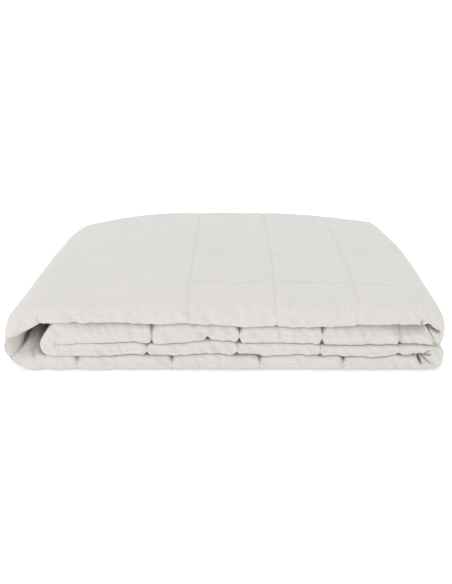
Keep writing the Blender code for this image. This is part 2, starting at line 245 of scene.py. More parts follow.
# How far the seam inside the spine is shifted along its wall, at places from front to back.
WALL_PLACES = (0.0, 0.010, 0.023, 0.045, 0.085)
WALL_SHIFTS = (0.0, 0.0012, 0.0010, -0.0030, -0.0080)
WALL_SHIFT_REACH = 0.020
SWELL_DEPTH = 0.040      # how far behind the front edge the spine's inside has swollen

# The end of the top layer hangs down over the end of the second. Its face is bent like a fold.
HANGING_X = 0.2305       # where it starts to bend
HANGING_BEND = Bend(0.0228, 0.0520, 4.0, 1.75)
HANGING_FOOT = 0.0350    # height that the bend of its face heads for
HANGING_END_ANGLE = -32
HANGING_STEPS = 50
HANGING_TIP_X = 0.2420   # where its reverse ends
HANGING_TIP_Z = 0.0372
HANGING_SAG = 1.2        # over 1, its reverse drops later than it runs out
HANGING_TIP_RIM = Rim(0.0, 0.0, 0.018, 2.6, 0.002, 4.5, 0.0, 0.0)

# The end of the second layer slants under it: points of its upper and of its lower side.
Slant = namedtuple("Slant", "upper_x upper_z lower_x lower_z")
SECOND_END_X = 0.2292
SECOND_END = (
    Slant(0.2318, 0.0537, 0.2340, 0.0332),
    Slant(0.2358, 0.0484, 0.2372, 0.0338),
    Slant(0.2394, 0.0418, 0.2404, 0.0345),
)
SECOND_TIP_RIM = Rim(0.0005, 0.0050, 0.002, 5.0, 0.003, 5.0, 0.0, 0.0)
SLANT_STEPS = 5          # stations for each row of SECOND_END
TIP_ROUNDING = 0.0035    # how far both ends are rounded
TIP_STEPS = (0.35, 0.60, 0.80, 0.92, 0.98)     # stations there

LAYER_STEP = 0.0020      # spacing of the stations along the layers
TOP_STEP = 0.0030        # the same along the top one
CLOSE_STEP = 0.0011      # the same near both ends of the layers, where the creases are
CLOSE_ZONES = ((-0.2120, -0.1600), (0.1947, 0.2292))
CLOSE_TOP_ZONES = ((0.2167, 0.2305),)
FACE_STEP = 0.0047       # spacing of the points from front to back, where the cloth shows
HIDDEN_STEP = 0.060      # the same where it doesn't
BESIDE_SEAM = (0.0006, 0.0013, 0.0022, 0.0034)     # points on both sides of a seam
FRONT_ANGLES = (*range(5, 50, 6), 54, 62, 71, 81)  # from an edge's middle to a face
FINE_ANGLES = (*range(5, 51, 3), 54, 58, 62, 66, 71, 76, 81)
BACK_ANGLES = (15, 31, 47, 63, 78)
EDGE_ROOM = 0.024        # depth at the front and back that is kept for the rounded edges
EDGE_FADE = 0.010        # how far in from an edge what belongs to it fades out
PIT_FADE = 0.025         # the same for the pits at the seams' ends
LIP_FADE = 0.012         # the same for the gathers over the top's lip
BACK_RELIEF = 0.6        # how much of the edges' unevenness is left along the back
LIP_RELIEF = 0.55        # and over the top's lip
BENT_RELIEF = 0.4        # and over the spine and the inner fold
LIP_TURN = (-0.4, 0.6)   # upward part of the cloth's direction where the lip's share starts and is whole
FLOOR_FADE = (-0.002, 0.007)     # heights between which the unevenness sets in above the floor

# How long the cloth's unevennesses are, along the stack and across them, and what picks each noise.
WANDER_LENGTH, WANDER_NOISE = 0.016, 5.0     # the way in which an edge stands in and out
OPENING_SIZE, OPENING_NOISE = (0.028, 0.010), 8.0    # the change in how wide the lines between layers open
SWELL_SIZE = 0.050       # the soft swells of the filled squares
WRINKLE_SIZE = (0.060, 0.013)
LUMP_SIZE = (0.013, 0.010)
SLANT_SIZE = (0.0090, 0.030)     # the slanting wrinkles along the edges
SLANT_LIMIT = 0.25       # how far they stand out, at most, as a share of Slant Height
GATHER_SIZE = (0.0060, 0.030)
PUCKER_CHANGE = 0.02     # how far from a seam its puckers have changed
WALL_CREASE_FRONT = 0.35     # how deep a seam inside the spine is at the front edge, as a share
WALL_CREASE_START = 0.030    # how far back it has its whole depth
BOTTOM_CREASE_FADE = 0.4     # under 1, creases of the bottom layer reach further in from its edge

PIT_SHARPNESS = 1.5      # over 1, the opening of a pit is pointed
PIT_FLATNESS = 6         # how close to a face a pit's opening keeps
PIT_BOTTOM = 0.1         # where a pit starts, from 0 at an edge's middle to 1 at a face
PIT_WIDTHS = (0.15, 0.7)     # how wide it is there and at the face, as a share

RING_LENGTH = 2 * DEPTH + 0.04   # about how long a ring is, for the UV map of its last points
RING_FAR = 0.5           # a face that reaches this far round its ring, and has points this near its start,
RING_NEAR = 0.02         # closes the ring

# How clearly each cross seam shows, at places from left to right.
CROSS_PLACES = (-0.25, -0.06, -0.03, 0.10, 0.18, 0.25)
CROSS_LINES = (
    (0.20, 0.25, 0.90, 0.90, 1.00, 0.60),
    (0.04, 0.16, 0.20, 0.14, 0.14, 0.05),
    (0.03, 0.04, 0.05, 0.05, 0.05, 0.03),
    (0.05, 0.05, 0.05, 0.05, 0.05, 0.05),
)

# How the sewn grid wanders: the seam's place, and how far it is shifted at places along it.
Wander = namedtuple("Wander", "seam places shifts")
ALONG_WANDERS = (
    Wander(-0.149, (0.0, 0.09, 0.15, 0.19, 0.34), (0.0, 0.0, 0.010, 0.010, 0.002)),
    Wander(-0.039, (0.0, 0.06, 0.17, 0.34), (0.0, 0.0, 0.002, 0.003)),
    Wander(0.061, (0.0, 0.06, 0.17, 0.34), (-0.001, 0.0, 0.001, -0.001)),
    Wander(0.153, (0.0, 0.13, 0.155, 0.34), (0.0, 0.003, 0.001, 0.002)),
)
CROSS_WANDERS = (
    Wander(
        0.052,
        (-0.25, -0.10, -0.03, 0.018, 0.06, 0.077, 0.153, 0.20, 0.23),
        (0.0, 0.006, 0.010, 0.004, 0.014, 0.007, 0.009, 0.004, -0.006),
    ),
    Wander(
        0.150,
        (-0.25, -0.085, -0.03, 0.026, 0.064, 0.095, 0.16, 0.19, 0.23),
        (0.0, 0.014, 0.011, 0.010, -0.005, -0.006, 0.001, 0.014, 0.010),
    ),
    Wander(0.250, (-0.25, -0.10, 0.02, 0.12, 0.23), (0.0, 0.006, -0.004, 0.005, 0.0)),
    Wander(0.350, (-0.25, -0.12, 0.0, 0.15, 0.23), (0.0, 0.002, 0.0, 0.003, 0.0)),
)
WANDER_REACH = 0.040     # how far beside a seam the cloth is shifted with it

# Creases: the parts that they are on, depth, half-width, where along them they are deepest (0 to 1), and
# their points. Front creases are pressed in from the front, with points (x, z); top creases are pressed
# down from above, with points (x, y). Both from the middle of the stack.
Crease = namedtuple("Crease", "parts depth width peak points")
FRONT_CREASES = (
    Crease("top", 0.0060, 0.0012, 1.0, ((0.2230, 0.0650), (0.2222, 0.0595))),
    Crease("second", 0.0100, 0.0017, 1.0, ((0.2130, 0.0585), (0.2200, 0.0578), (0.2262, 0.0572))),
    Crease("top", 0.0010, 0.0022, 0.5, ((0.2074, 0.0751), (0.2055, 0.0708), (0.2065, 0.0659))),
    Crease("top spine", 0.0014, 0.0014, 1.0, ((-0.1985, 0.0640), (-0.2025, 0.0590))),
    Crease("top spine", 0.0010, 0.0020, 0.5, ((-0.2117, 0.0745), (-0.2117, 0.0671))),
    Crease("spine", 0.0010, 0.0020, 0.5, ((-0.2319, 0.0683), (-0.2325, 0.0622))),
    Crease(
        "hanging top", 0.0180, 0.0011, 0.15,
        ((0.2325, 0.0547), (0.2365, 0.0522), (0.2405, 0.0499), (0.2442, 0.0486)),
    ),
    Crease("hanging top", 0.0220, 0.0019, 0.1, ((0.2295, 0.0566), (0.2318, 0.0551), (0.2345, 0.0533))),
    Crease("bottom third", 0.0060, 0.0016, 0.5, ((0.0080, 0.0206), (0.0260, 0.0200), (0.0420, 0.0196))),
    Crease("bottom third", 0.0060, 0.0013, 1.0, ((0.1960, 0.0208), (0.2060, 0.0204), (0.2180, 0.0205))),
    Crease("second", 0.0042, 0.0013, 0.0, ((0.1956, 0.0586), (0.1996, 0.0473), (0.2021, 0.0372))),
    Crease("second", 0.0009, 0.0012, 0.5, ((-0.1846, 0.0560), (-0.1875, 0.0460), (-0.1885, 0.0352))),
    Crease("second", 0.0018, 0.0024, 0.4, ((-0.1619, 0.0563), (-0.1558, 0.0430))),
    Crease("second", 0.0024, 0.0026, 0.8, ((-0.0330, 0.0498), (-0.0251, 0.0435), (-0.0179, 0.0385))),
    Crease("second", 0.0044, 0.0012, 0.0, ((-0.0815, 0.0592), (-0.0835, 0.0485), (-0.0833, 0.0385))),
    Crease("second", 0.0016, 0.0026, 0.3, ((-0.1313, 0.0575), (-0.1355, 0.0480), (-0.1460, 0.0420))),
    Crease("second", 0.0014, 0.0030, 0.4, ((-0.1050, 0.0560), (-0.1130, 0.0450))),
    Crease("second", 0.0014, 0.0030, 0.4, ((0.0450, 0.0520), (0.0380, 0.0400))),
    Crease("second", 0.0012, 0.0030, 0.4, ((0.0900, 0.0500), (0.0980, 0.0390))),
    Crease("bottom", 0.0056, 0.0011, 0.1, ((-0.1662, 0.0195), (-0.1690, 0.0131), (-0.1712, 0.0095))),
    Crease("bottom", 0.0012, 0.0012, 0.2, ((-0.1729, 0.0190), (-0.1720, 0.0118))),
    Crease("bottom spine", 0.0035, 0.0019, 0.4, ((-0.2235, 0.0275), (-0.2192, 0.0207), (-0.2171, 0.0114))),
    Crease("bottom spine", 0.0025, 0.0015, 0.1, ((-0.2091, 0.0243), (-0.2051, 0.0165))),
    Crease("bottom", 0.0014, 0.0020, 0.3, ((-0.1935, 0.0192), (-0.1901, 0.0118))),
    Crease("bottom", 0.0012, 0.0026, 0.4, ((-0.1200, 0.0180), (-0.1250, 0.0060))),
    Crease(
        "bottom third lower_fold", 0.0220, 0.0010, 0.3,
        ((0.2214, 0.0212), (0.2218, 0.0180), (0.2228, 0.0143), (0.2262, 0.0088)),
    ),
    Crease(
        "bottom lower_fold", 0.0085, 0.0010, 0.1,
        ((0.2246, 0.0212), (0.2268, 0.0178), (0.2325, 0.0132), (0.2400, 0.0088)),
    ),
    Crease("third lower_fold", 0.0130, 0.0009, 0.2, ((0.2250, 0.0204), (0.2365, 0.0206))),
    Crease("third lower_fold", 0.0060, 0.0009, 0.2, ((0.2280, 0.0214), (0.2315, 0.0246), (0.2355, 0.0256))),
)
TOP_CREASES = (
    Crease("top", 0.0007, 0.0050, 0.5, ((-0.1072, 0.0190), (-0.0580, 0.0160))),
    Crease("top", 0.0007, 0.0050, 0.5, ((-0.0300, 0.0040), (0.0226, 0.0010))),
    Crease("top spine", 0.0012, 0.0080, 0.4, ((-0.2239, -0.1100), (-0.1775, -0.0553), (-0.1390, -0.0300))),
    Crease("top", 0.0006, 0.0050, 0.5, ((-0.1300, -0.1030), (-0.0880, -0.1070))),
    Crease("top", 0.0006, 0.0060, 0.5, ((0.0900, -0.0750), (0.1350, -0.0900))),
    Crease("top", 0.0006, 0.0060, 0.5, ((0.0100, 0.0900), (0.0550, 0.0960))),
    Crease("top", 0.0006, 0.0060, 0.5, ((0.1700, 0.0500), (0.2100, 0.0200))),
    Crease("top", 0.0012, 0.0110, 0.5, ((-0.0250, -0.1010), (0.0180, -0.1030))),
    Crease("top", 0.0012, 0.0110, 0.5, ((0.0680, -0.0960), (0.1050, -0.0920))),
    Crease("top", 0.0009, 0.0110, 0.5, ((-0.1320, -0.0850), (-0.1050, -0.0870))),
    Crease("top", 0.0010, 0.0100, 0.5, ((-0.0280, -0.1690), (0.0150, -0.1720))),
    Crease("top", 0.0009, 0.0100, 0.5, ((0.0680, -0.1760), (0.1000, -0.1780))),
    Crease("top", 0.0011, 0.0100, 0.5, ((0.1750, -0.1800), (0.2080, -0.1780))),
    Crease("top", 0.0009, 0.0090, 0.5, ((-0.1150, -0.1800), (-0.0700, -0.1810))),
)

# A station: a point on the cloth's face and on its reverse, each as (x, z), its edges, the seam of the
# sewn grid that crosses it or None, and the part that it belongs to.
Station = namedtuple("Station", "face reverse rim seam part")
# A row of points along the strip: place from the front edge, angle round an edge (90 on the cloth's face,
# -90 on its reverse), and which edge: 1 the front, -1 the back, 0 neither.
Row = namedtuple("Row", "place angle edge")


# ---- the strip's route ------------------------------------------------------------------------------
def blend(start, end, share):
    return start + (end - start) * share


def mixed(start, end, share):
    """Two rows of a table, blended value by value."""
    return type(start)(*(blend(a, b, share) for a, b in zip(start, end)))


def ramp(value, start, end):
    """Smooth rise from 0 at start to 1 at end."""
    t = np.clip((value - start) / (end - start), 0.0, 1.0)
    return t * t * (3 - 2 * t)


def bell(distance, reach):
    """1 at no distance, falling smoothly to almost nothing at twice the reach."""
    return np.exp(-((distance / reach) ** 2))


def looked_up(value, places, values):
    """Value of a table at one place, straight from row to row."""
    return float(np.interp(value, places, values))


def eased(value, places, values):
    """Values of a table at places, without kinks at its rows."""
    places, values = np.array(places), np.array(values)
    index = np.clip(np.searchsorted(places, value) - 1, 0, len(places) - 2)
    return blend(values[index], values[index + 1], ramp(value, places[index], places[index + 1]))


def round_power(value, fullness):
    """A sine or cosine, pushed out towards a square."""
    return copysign(abs(value) ** (2 / fullness), value)


def height(line, x):
    """Height of a line between the layers at x, smooth from one row of LEVELS to the next."""
    if line == "floor":
        return 0.0
    last = len(LEVELS) - 1
    index = max(i for i in range(last) if i == 0 or x > LEVELS[i].x)
    rows = [LEVELS[min(max(index + step, 0), last)] for step in (-1, 0, 1, 2)]
    before, low, high, after = (getattr(row, line) for row in rows)
    t = min(max((x - rows[1].x) / (rows[2].x - rows[1].x), 0.0), 1.0)
    rise = (high - before) * t
    bend = (2 * before - 5 * low + 4 * high - after) * t**2
    twist = (3 * low - before - 3 * high + after) * t**3
    return low + 0.5 * (rise + bend + twist)


def line_height(line, x, cloth):
    """Height of a line, with the small unevenness of cloth that lies on cloth."""
    if line not in LINE_NOISE:
        return height(line, x)
    ripple = noise.noise((x / cloth.ripple_length, LINE_NOISE[line], 0.0))
    return height(line, x) + cloth.ripple_height * ripple


def line_start(x):
    """How far the lines between the layers open at x, as a share."""
    return looked_up(x, LINE_PLACES, LINE_SHARES)


def layer_faces(layer, x, cloth):
    """Heights of a layer's upper and lower side at x."""
    half = cloth.gap / 2
    openings = {
        "top": 0.0,
        "under_top": looked_up(x, TOP_LINE_PLACES, TOP_LINE_SHARES),
        "under_second": line_start(x),
        "under_third": 1.0,
        "floor": 0.0,
    }
    upper = line_height(layer.above, x, cloth) - half * openings[layer.above]
    lower = line_height(layer.below, x, cloth) + half * openings[layer.below]
    return upper, lower


def places(start, end, seams, beside, spacing, close=()):
    """Rising places from start to end: each seam, those beside it, and even steps between."""
    reach = max(beside, default=0.0)
    fixed = [start, end] + [x for x in close if all(abs(x - seam) > reach + spacing / 4 for seam in seams)]
    for seam in seams:
        fixed += [seam - step for step in beside] + [seam] + [seam + step for step in beside]
    fixed = sorted(x for x in fixed if start <= x <= end)
    found = []
    for low, high in zip(fixed, fixed[1:]):
        count = max(1, round((high - low) / spacing))
        found += [low + (high - low) * step / count for step in range(count)]
    return found + [fixed[-1]]


def second_rim(x):
    """The second layer's edges at x."""
    rim = SECOND.rim
    setback, lean = (looked_up(x, SECOND_PLACES, values) for values in (SECOND_SETBACK, SECOND_LEAN))
    return rim._replace(
        front=rim.front + setback,
        reverse_depth=rim.reverse_depth + lean,
        reverse_square=rim.reverse_square - LEAN_SOFTENS * lean,
    )


def run(layer, start, end, cloth):
    """Stations along a straight layer, from start to end."""
    low, high = min(start, end), max(start, end)
    seams = {seam.x: seam for seam in layer.seams}
    spacing, zones = (TOP_STEP, CLOSE_TOP_ZONES) if layer is TOP else (LAYER_STEP, CLOSE_ZONES)
    close = [x for zone in zones for x in np.arange(*zone, CLOSE_STEP).tolist() if low < x < high]
    stations = []
    for x in places(low, high, list(seams), BESIDE_SEAM, spacing, close):
        upper, lower = layer_faces(layer, x, cloth)
        face, reverse = (upper, lower) if layer in (TOP, THIRD) else (lower, upper)
        rim = second_rim(x) if layer is SECOND else layer.rim
        stations.append(Station((x, face), (x, reverse), rim, seams.get(x), layer.name))
    return stations if start < end else stations[::-1]


def arc_point(x, side, foot, head, bend, angle):
    """Point on a bend that goes from its foot to its head."""
    fullness = bend.above if angle > 0 else bend.below
    tall = head - bend.widest if angle > 0 else bend.widest - foot
    out = side * bend.reach * abs(cos(radians(angle))) ** (2 / fullness)
    return x + out, bend.widest + tall * round_power(sin(radians(angle)), fullness)


def fold_stations(fold, cloth):
    """Stations round a fold, from its foot to its head, without those that its layers already have."""
    head, inner_head = layer_faces(fold.upper, fold.x, cloth)
    inner_foot, foot = layer_faces(fold.lower, fold.x, cloth)
    angles = np.linspace(-90.0, 90.0, ARC_SAMPLES)
    route = np.array([arc_point(fold.x, fold.side, foot, head, fold.outer, angle) for angle in angles])
    lengths = np.concatenate(([0.0], np.cumsum(np.linalg.norm(np.diff(route, axis=0), axis=1))))
    seams = {looked_up(turn, angles, lengths): line for turn, line in fold.seams}
    turns, rims = zip(*fold.rims)
    stations = []
    for place in places(0.0, float(lengths[-1]), list(seams), BESIDE_SEAM, fold.step)[1:-1]:
        angle = looked_up(place, lengths, angles)
        rim = Rim(*(eased(angle, turns, values) for values in zip(*rims)))
        outside = arc_point(fold.x, fold.side, foot, head, fold.outer, angle)
        inside = arc_point(fold.x, fold.side, inner_foot, inner_head, fold.inner, angle)
        face, reverse = (inside, outside) if fold is INNER_FOLD else (outside, inside)
        seam = Seam(fold.x, seams[place], 0.0, 0.0) if place in seams else None
        stations.append(Station(face, reverse, rim, seam, fold.name))
    return stations


def hanging_end(cloth):
    """Stations of the top layer's end, from where the layer stops down to its tip."""
    upper, lower = layer_faces(TOP, HANGING_X, cloth)
    stations = []
    for step in range(1, HANGING_STEPS + 1):
        share = step / HANGING_STEPS
        angle = blend(90.0, HANGING_END_ANGLE, share)
        face = arc_point(HANGING_X, 1, HANGING_FOOT, upper, HANGING_BEND, angle)
        sunk = blend(lower, HANGING_TIP_Z, share**HANGING_SAG)
        reverse = (blend(HANGING_X, HANGING_TIP_X, share), sunk)
        stations.append(Station(face, reverse, mixed(TOP.rim, HANGING_TIP_RIM, share), None, "hanging"))
    return stations


def slanting_end(cloth):
    """Stations of the second layer's end, under the hanging one."""
    upper, lower = layer_faces(SECOND, SECOND_END_X, cloth)
    rows = (Slant(SECOND_END_X, upper, SECOND_END_X, lower), *SECOND_END)
    rim = second_rim(SECOND_END_X)
    stations = []
    for index, (low, high) in enumerate(zip(rows, rows[1:])):
        for step in range(1, SLANT_STEPS + 1):
            share = step / SLANT_STEPS
            row = mixed(low, high, share)
            edges = mixed(rim, SECOND_TIP_RIM, (index + share) / len(SECOND_END))
            stations.append(
                Station((row.lower_x, row.lower_z), (row.upper_x, row.upper_z), edges, None, "second")
            )
    return stations


def rounded_tip(before, last):
    """Stations that close a strip's end: on past the last one, ever thinner."""
    face, reverse = np.array(last.face), np.array(last.reverse)
    heading = (face + reverse - before.face - before.reverse) / 2
    heading = heading / hypot(*heading)
    stations = []
    for share in TIP_STEPS:
        narrow = (1 - share * share) ** 0.5
        onward = heading * TIP_ROUNDING * share
        sides = [blend((face + reverse) / 2, side, narrow) + onward for side in (face, reverse)]
        stations.append(Station(*sides, last.rim, None, last.part))
    return stations


def strip_stations(cloth):
    """The strip's stations in two lengths: the part that shows from above, and the part below it."""
    hanging = hanging_end(cloth)
    slanting = slanting_end(cloth)
    shown = (
        rounded_tip(*hanging[-2:])[::-1]
        + hanging[::-1]
        + run(TOP, HANGING_X, SPINE.x, cloth)
        + fold_stations(SPINE, cloth)[::-1]
    )
    covered = (
        run(BOTTOM, SPINE.x, LOWER_FOLD.x, cloth)
        + fold_stations(LOWER_FOLD, cloth)
        + run(THIRD, LOWER_FOLD.x, INNER_FOLD.x, cloth)
        + fold_stations(INNER_FOLD, cloth)
        + run(SECOND, INNER_FOLD.x, SECOND_END_X, cloth)
        + slanting
        + rounded_tip(*slanting[-2:])
    )
    return shown, covered


def side_rows():
    """Places of the rows on a face, from front to back: few where hidden, and many where shown."""
    even = places(EDGE_ROOM, DEPTH - EDGE_ROOM, CROSS_SEAMS[:-1], (), HIDDEN_STEP)
    hidden = sorted({CROSS_SEAMS[-1], *even})
    beside = {seam + side * step for seam in CROSS_SEAMS for step in BESIDE_SEAM for side in (-1, 1)}
    fixed = sorted({*hidden, *(place for place in beside if place < hidden[-1])})
    return hidden, places(hidden[0], hidden[-1], fixed[1:-1], (), FACE_STEP)


def ring_rows(over, under, angles):
    """Rows round the strip: places of those on its face and its reverse, angles of those at the front."""
    front = [Row(0.0, angle, 1) for angle in angles]
    back = [Row(DEPTH, angle, -1) for angle in BACK_ANGLES[::-1]]
    upper, lower = ([*front, *(Row(place, 90, 0) for place in side), *back] for side in (over, under))
    turned = [row._replace(angle=-row.angle) for row in lower[::-1]]
    return [Row(0.0, 0, 1), *upper, Row(DEPTH, 0, -1), *turned]


# ---- the stack's form -------------------------------------------------------------------------------
def square_rim(distance):
    """0 in the middle of a square, rising to 1 at its seams."""
    return np.clip(1 - distance / (SQUARE / 2), 0.0, None) ** 2


def stack_shape(x, y, z):
    """The whole stack's own form: crowned in the middle, lower and narrower towards the back."""
    share = np.clip(y / DEPTH, 0.0, 1.0)
    sideways = ramp(abs(x), CROWN_MIDDLE, HALF_WIDTH)
    left = x < 0
    loss = np.where(left, LEFT_CROWN_LOSS, RIGHT_CROWN_LOSS)
    corner_sink = np.where(left, LEFT_SINK, RIGHT_SINK)
    crown = CROWN * np.sin(pi * share) ** CROWN_SPREAD * (1 - loss * sideways)
    sink = (BACK_SLOPE + corner_sink * sideways) * ramp(share, SINK_START, 1.0)
    dip = np.where(left, LEFT_CORNER_DIP, RIGHT_CORNER_DIP) / height("top", 0.0)
    sink = sink + dip * ramp(abs(x), DIP_START, HALF_WIDTH - CORNER_SIZE / 2) * ramp(y, DIP_DEPTH, DEPTH)
    taper = np.where(left, LEFT_TAPER * share**LEFT_TAPER_BEND, RIGHT_TAPER * share**RIGHT_TAPER_BEND)
    taper = taper + np.where(left, LEFT_WAIST * bell(y - WAIST_PLACE, WAIST_REACH), 0.0)
    drawn_in = taper * np.clip(abs(x) - TAPER_START, 0.0, None) / (HALF_WIDTH - TAPER_START)
    return np.stack((x - np.sign(x) * drawn_in, y, z * (1 + crown - sink)), axis=-1)


def back_edge(x, stands_back):
    """How far back the cloth reaches at x, with the corners rounded."""
    inset = min(max(0.0, abs(x) - (HALF_WIDTH - CORNER_SIZE)) / CORNER_SIZE, CORNER_TURN)
    return DEPTH - stands_back - CORNER_SIZE * (1 - (1 - inset**2) ** 0.5)


def remap(y, front, back):
    """Move places between the front and back edges with those edges, keeping the middle."""
    near = blend(front, SQUARE / 2, y / (SQUARE / 2))
    far = blend(CORNER_START, back, (y - CORNER_START) / (DEPTH - CORNER_START))
    return np.where(y < SQUARE / 2, near, np.where(y > CORNER_START, far, y))


class Rows:
    """The rows of a ring as arrays."""

    def __init__(self, rows):
        self.place = np.array([row.place for row in rows])
        self.edge = np.array([row.edge for row in rows])
        self.face_side = np.array([row.angle > 0 for row in rows])
        angle = np.radians([abs(row.angle) for row in rows])
        self.sine, self.cosine = np.sin(angle), np.cos(angle)
        self.flat = self.edge == 0
        gaps = [abs(self.place - seam) for seam in CROSS_SEAMS]
        self.across = np.where(self.flat, np.min(gaps, axis=0), 1.0)
        self.cross_seam = np.argmin(gaps, axis=0)

    def __len__(self):
        return len(self.place)


def ring_points(station, distance, seam, rows, cloth):
    """The ring of points at one station, and how near each is to the front edge and to the back edge.

    The station's nearest seam is at that distance along the strip.
    """
    face, reverse = np.array(station.face), np.array(station.reverse)
    middle, half = (face + reverse) / 2, (face - reverse) / 2
    thick = hypot(*half)
    rim, side = station.rim, rows.face_side

    # Where the cloth's front and back edges lie, and how it is rounded from them to its faces.
    along = seam.line * bell(distance, cloth.seam_reach)
    groove = cloth.groove_depth * seam.line * bell(distance, cloth.groove_width)
    uneven = cloth.edge_wander * noise.noise((*(middle / WANDER_LENGTH), WANDER_NOISE))
    front = rim.front + cloth.seam_pull * along + (0.0 if station.part == "top" else groove) + uneven
    back = back_edge(middle[0], rim.back) - cloth.seam_pull * along + uneven
    depth = np.where(side, min(rim.face_depth, EDGE_LIMIT * thick), rim.reverse_depth)
    if station.part in LINE_PARTS:
        change = 1 + cloth.line_change * noise.noise((*(middle / OPENING_SIZE), OPENING_NOISE))
        depth = depth * change * line_start(middle[0])
    square = np.where(side, rim.face_square, rim.reverse_square)
    length = (rows.sine**square + rows.cosine**square) ** (1 / square)
    tall = np.where(side, 1.0, -1.0) * rows.sine / length
    inset = np.where(rows.flat, 0.0, depth * (1 - rows.cosine / length))
    near_front = np.exp(-np.where(rows.edge == 1, inset, rows.place) / EDGE_FADE)
    near_back = np.exp(-np.where(rows.edge == -1, inset, DEPTH - rows.place) / EDGE_FADE)

    # How far the seams, and the rims of the sewn squares, draw the faces in.
    pinch = np.maximum(along, bell(rows.across, cloth.seam_reach))
    low = np.maximum(seam.line * square_rim(distance), np.where(rows.flat, square_rim(rows.across), 0.0))
    if face[1] < FLOOR_SETTLE:
        low = np.where(side, 0.0, low)
    held = 1 - cloth.edge_hold * np.maximum(near_front, near_back)
    drawn = np.minimum((cloth.seam_draw * pinch + cloth.square_crown * low) * held, DRAW_LIMIT * thick)

    # The pits that a seam's ends open above and below it.
    pits = np.where(side, *((seam.over, seam.under) if face[1] > reverse[1] else (seam.under, seam.over)))
    shoulder = max(0.0, 1 - distance / cloth.pit_width) ** PIT_SHARPNESS
    hollow = np.where(rows.edge == -1, 0.0, np.exp(-rows.place / PIT_FADE)) * abs(tall) ** PIT_FLATNESS
    opened = np.minimum(cloth.pit_open * shoulder * pits * hollow, DRAW_LIMIT * thick)
    closeness = ramp(abs(tall), PIT_BOTTOM, 1.0)
    narrowed = cloth.pit_width * blend(*PIT_WIDTHS, closeness)
    pit = np.clip(1 - distance / narrowed, 0.0, 1.0)
    sunk = cloth.pit_depth * pit * closeness * pits * (rows.edge == 1)

    tall = np.where(rows.flat, tall, rim.ridge + (1 - np.sign(tall) * rim.ridge) * tall)
    share = tall * (1 - (drawn + opened) / thick)
    y = remap(rows.place, front, back) + rows.edge * inset + sunk
    swell = rim.swell * np.clip(-share, 0.0, 1.0)
    swell = swell * ramp(y, 0.0, SWELL_DEPTH) * (1 - ramp(y, CORNER_START, DEPTH))
    x, z = (middle[i] + half[i] * share - swell * half[i] / thick for i in (0, 1))
    return stack_shape(x, y, np.maximum(z - FLOOR_SETTLE, 0.0)), near_front, near_back


# ---- the cloth's mesh -------------------------------------------------------------------------------
def seam_distances(stations, middles):
    """Distance of each station along the strip, and to its nearest seam, and that seam's number."""
    lengths = np.concatenate(([0.0], np.cumsum([hypot(*step) for step in np.diff(middles, axis=0)])))
    sewn = lengths[[station.seam is not None for station in stations]]
    gaps = abs(lengths[:, None] - sewn)
    return lengths, gaps.min(axis=1), gaps.argmin(axis=1)


def ring_lengths(ring):
    """Distance of each point round its ring, from the middle of the front edge."""
    return np.concatenate(([0.0], np.cumsum(np.linalg.norm(np.diff(ring, axis=0), axis=1))))


def joint(here, there, rows, following):
    """Faces that join a fine ring to a plain one, whose rows are all among the fine ones."""
    keys, wanted = (
        list(zip(ring.place, ring.sine, ring.face_side, ring.edge)) for ring in (rows, following)
    )
    matches = [keys.index(key) for key in wanted]
    faces = []
    for i, match in enumerate(matches):
        after = (i + 1) % len(matches)
        stop = matches[after] if after else len(keys)
        near = [here + k % len(keys) for k in range(match, stop + 1)]
        faces.append((*near, there + after, there + i))
    return faces


def end_faces(start, rows, turned):
    """Faces that close the strip's end, from its face to its reverse."""
    order = (rows.place + rows.edge * (rows.sine - 1)).round(6).tolist()     # rises from front to back
    back = order.index(max(order))
    upper = range(back + 1)
    lower = (0, *range(len(rows) - 1, back - 1, -1))
    faces, i, j = [], 0, 0
    while i < back:
        ahead, beyond = order[upper[i + 1]], order[lower[j + 1]]
        next_i, next_j = i + (ahead <= beyond), j + (beyond <= ahead)
        corners = dict.fromkeys((upper[i], upper[next_i], lower[next_j], lower[j]))
        faces.append(tuple(start + k for k in (reversed(corners) if turned else corners)))
        i, j = next_i, next_j
    return faces


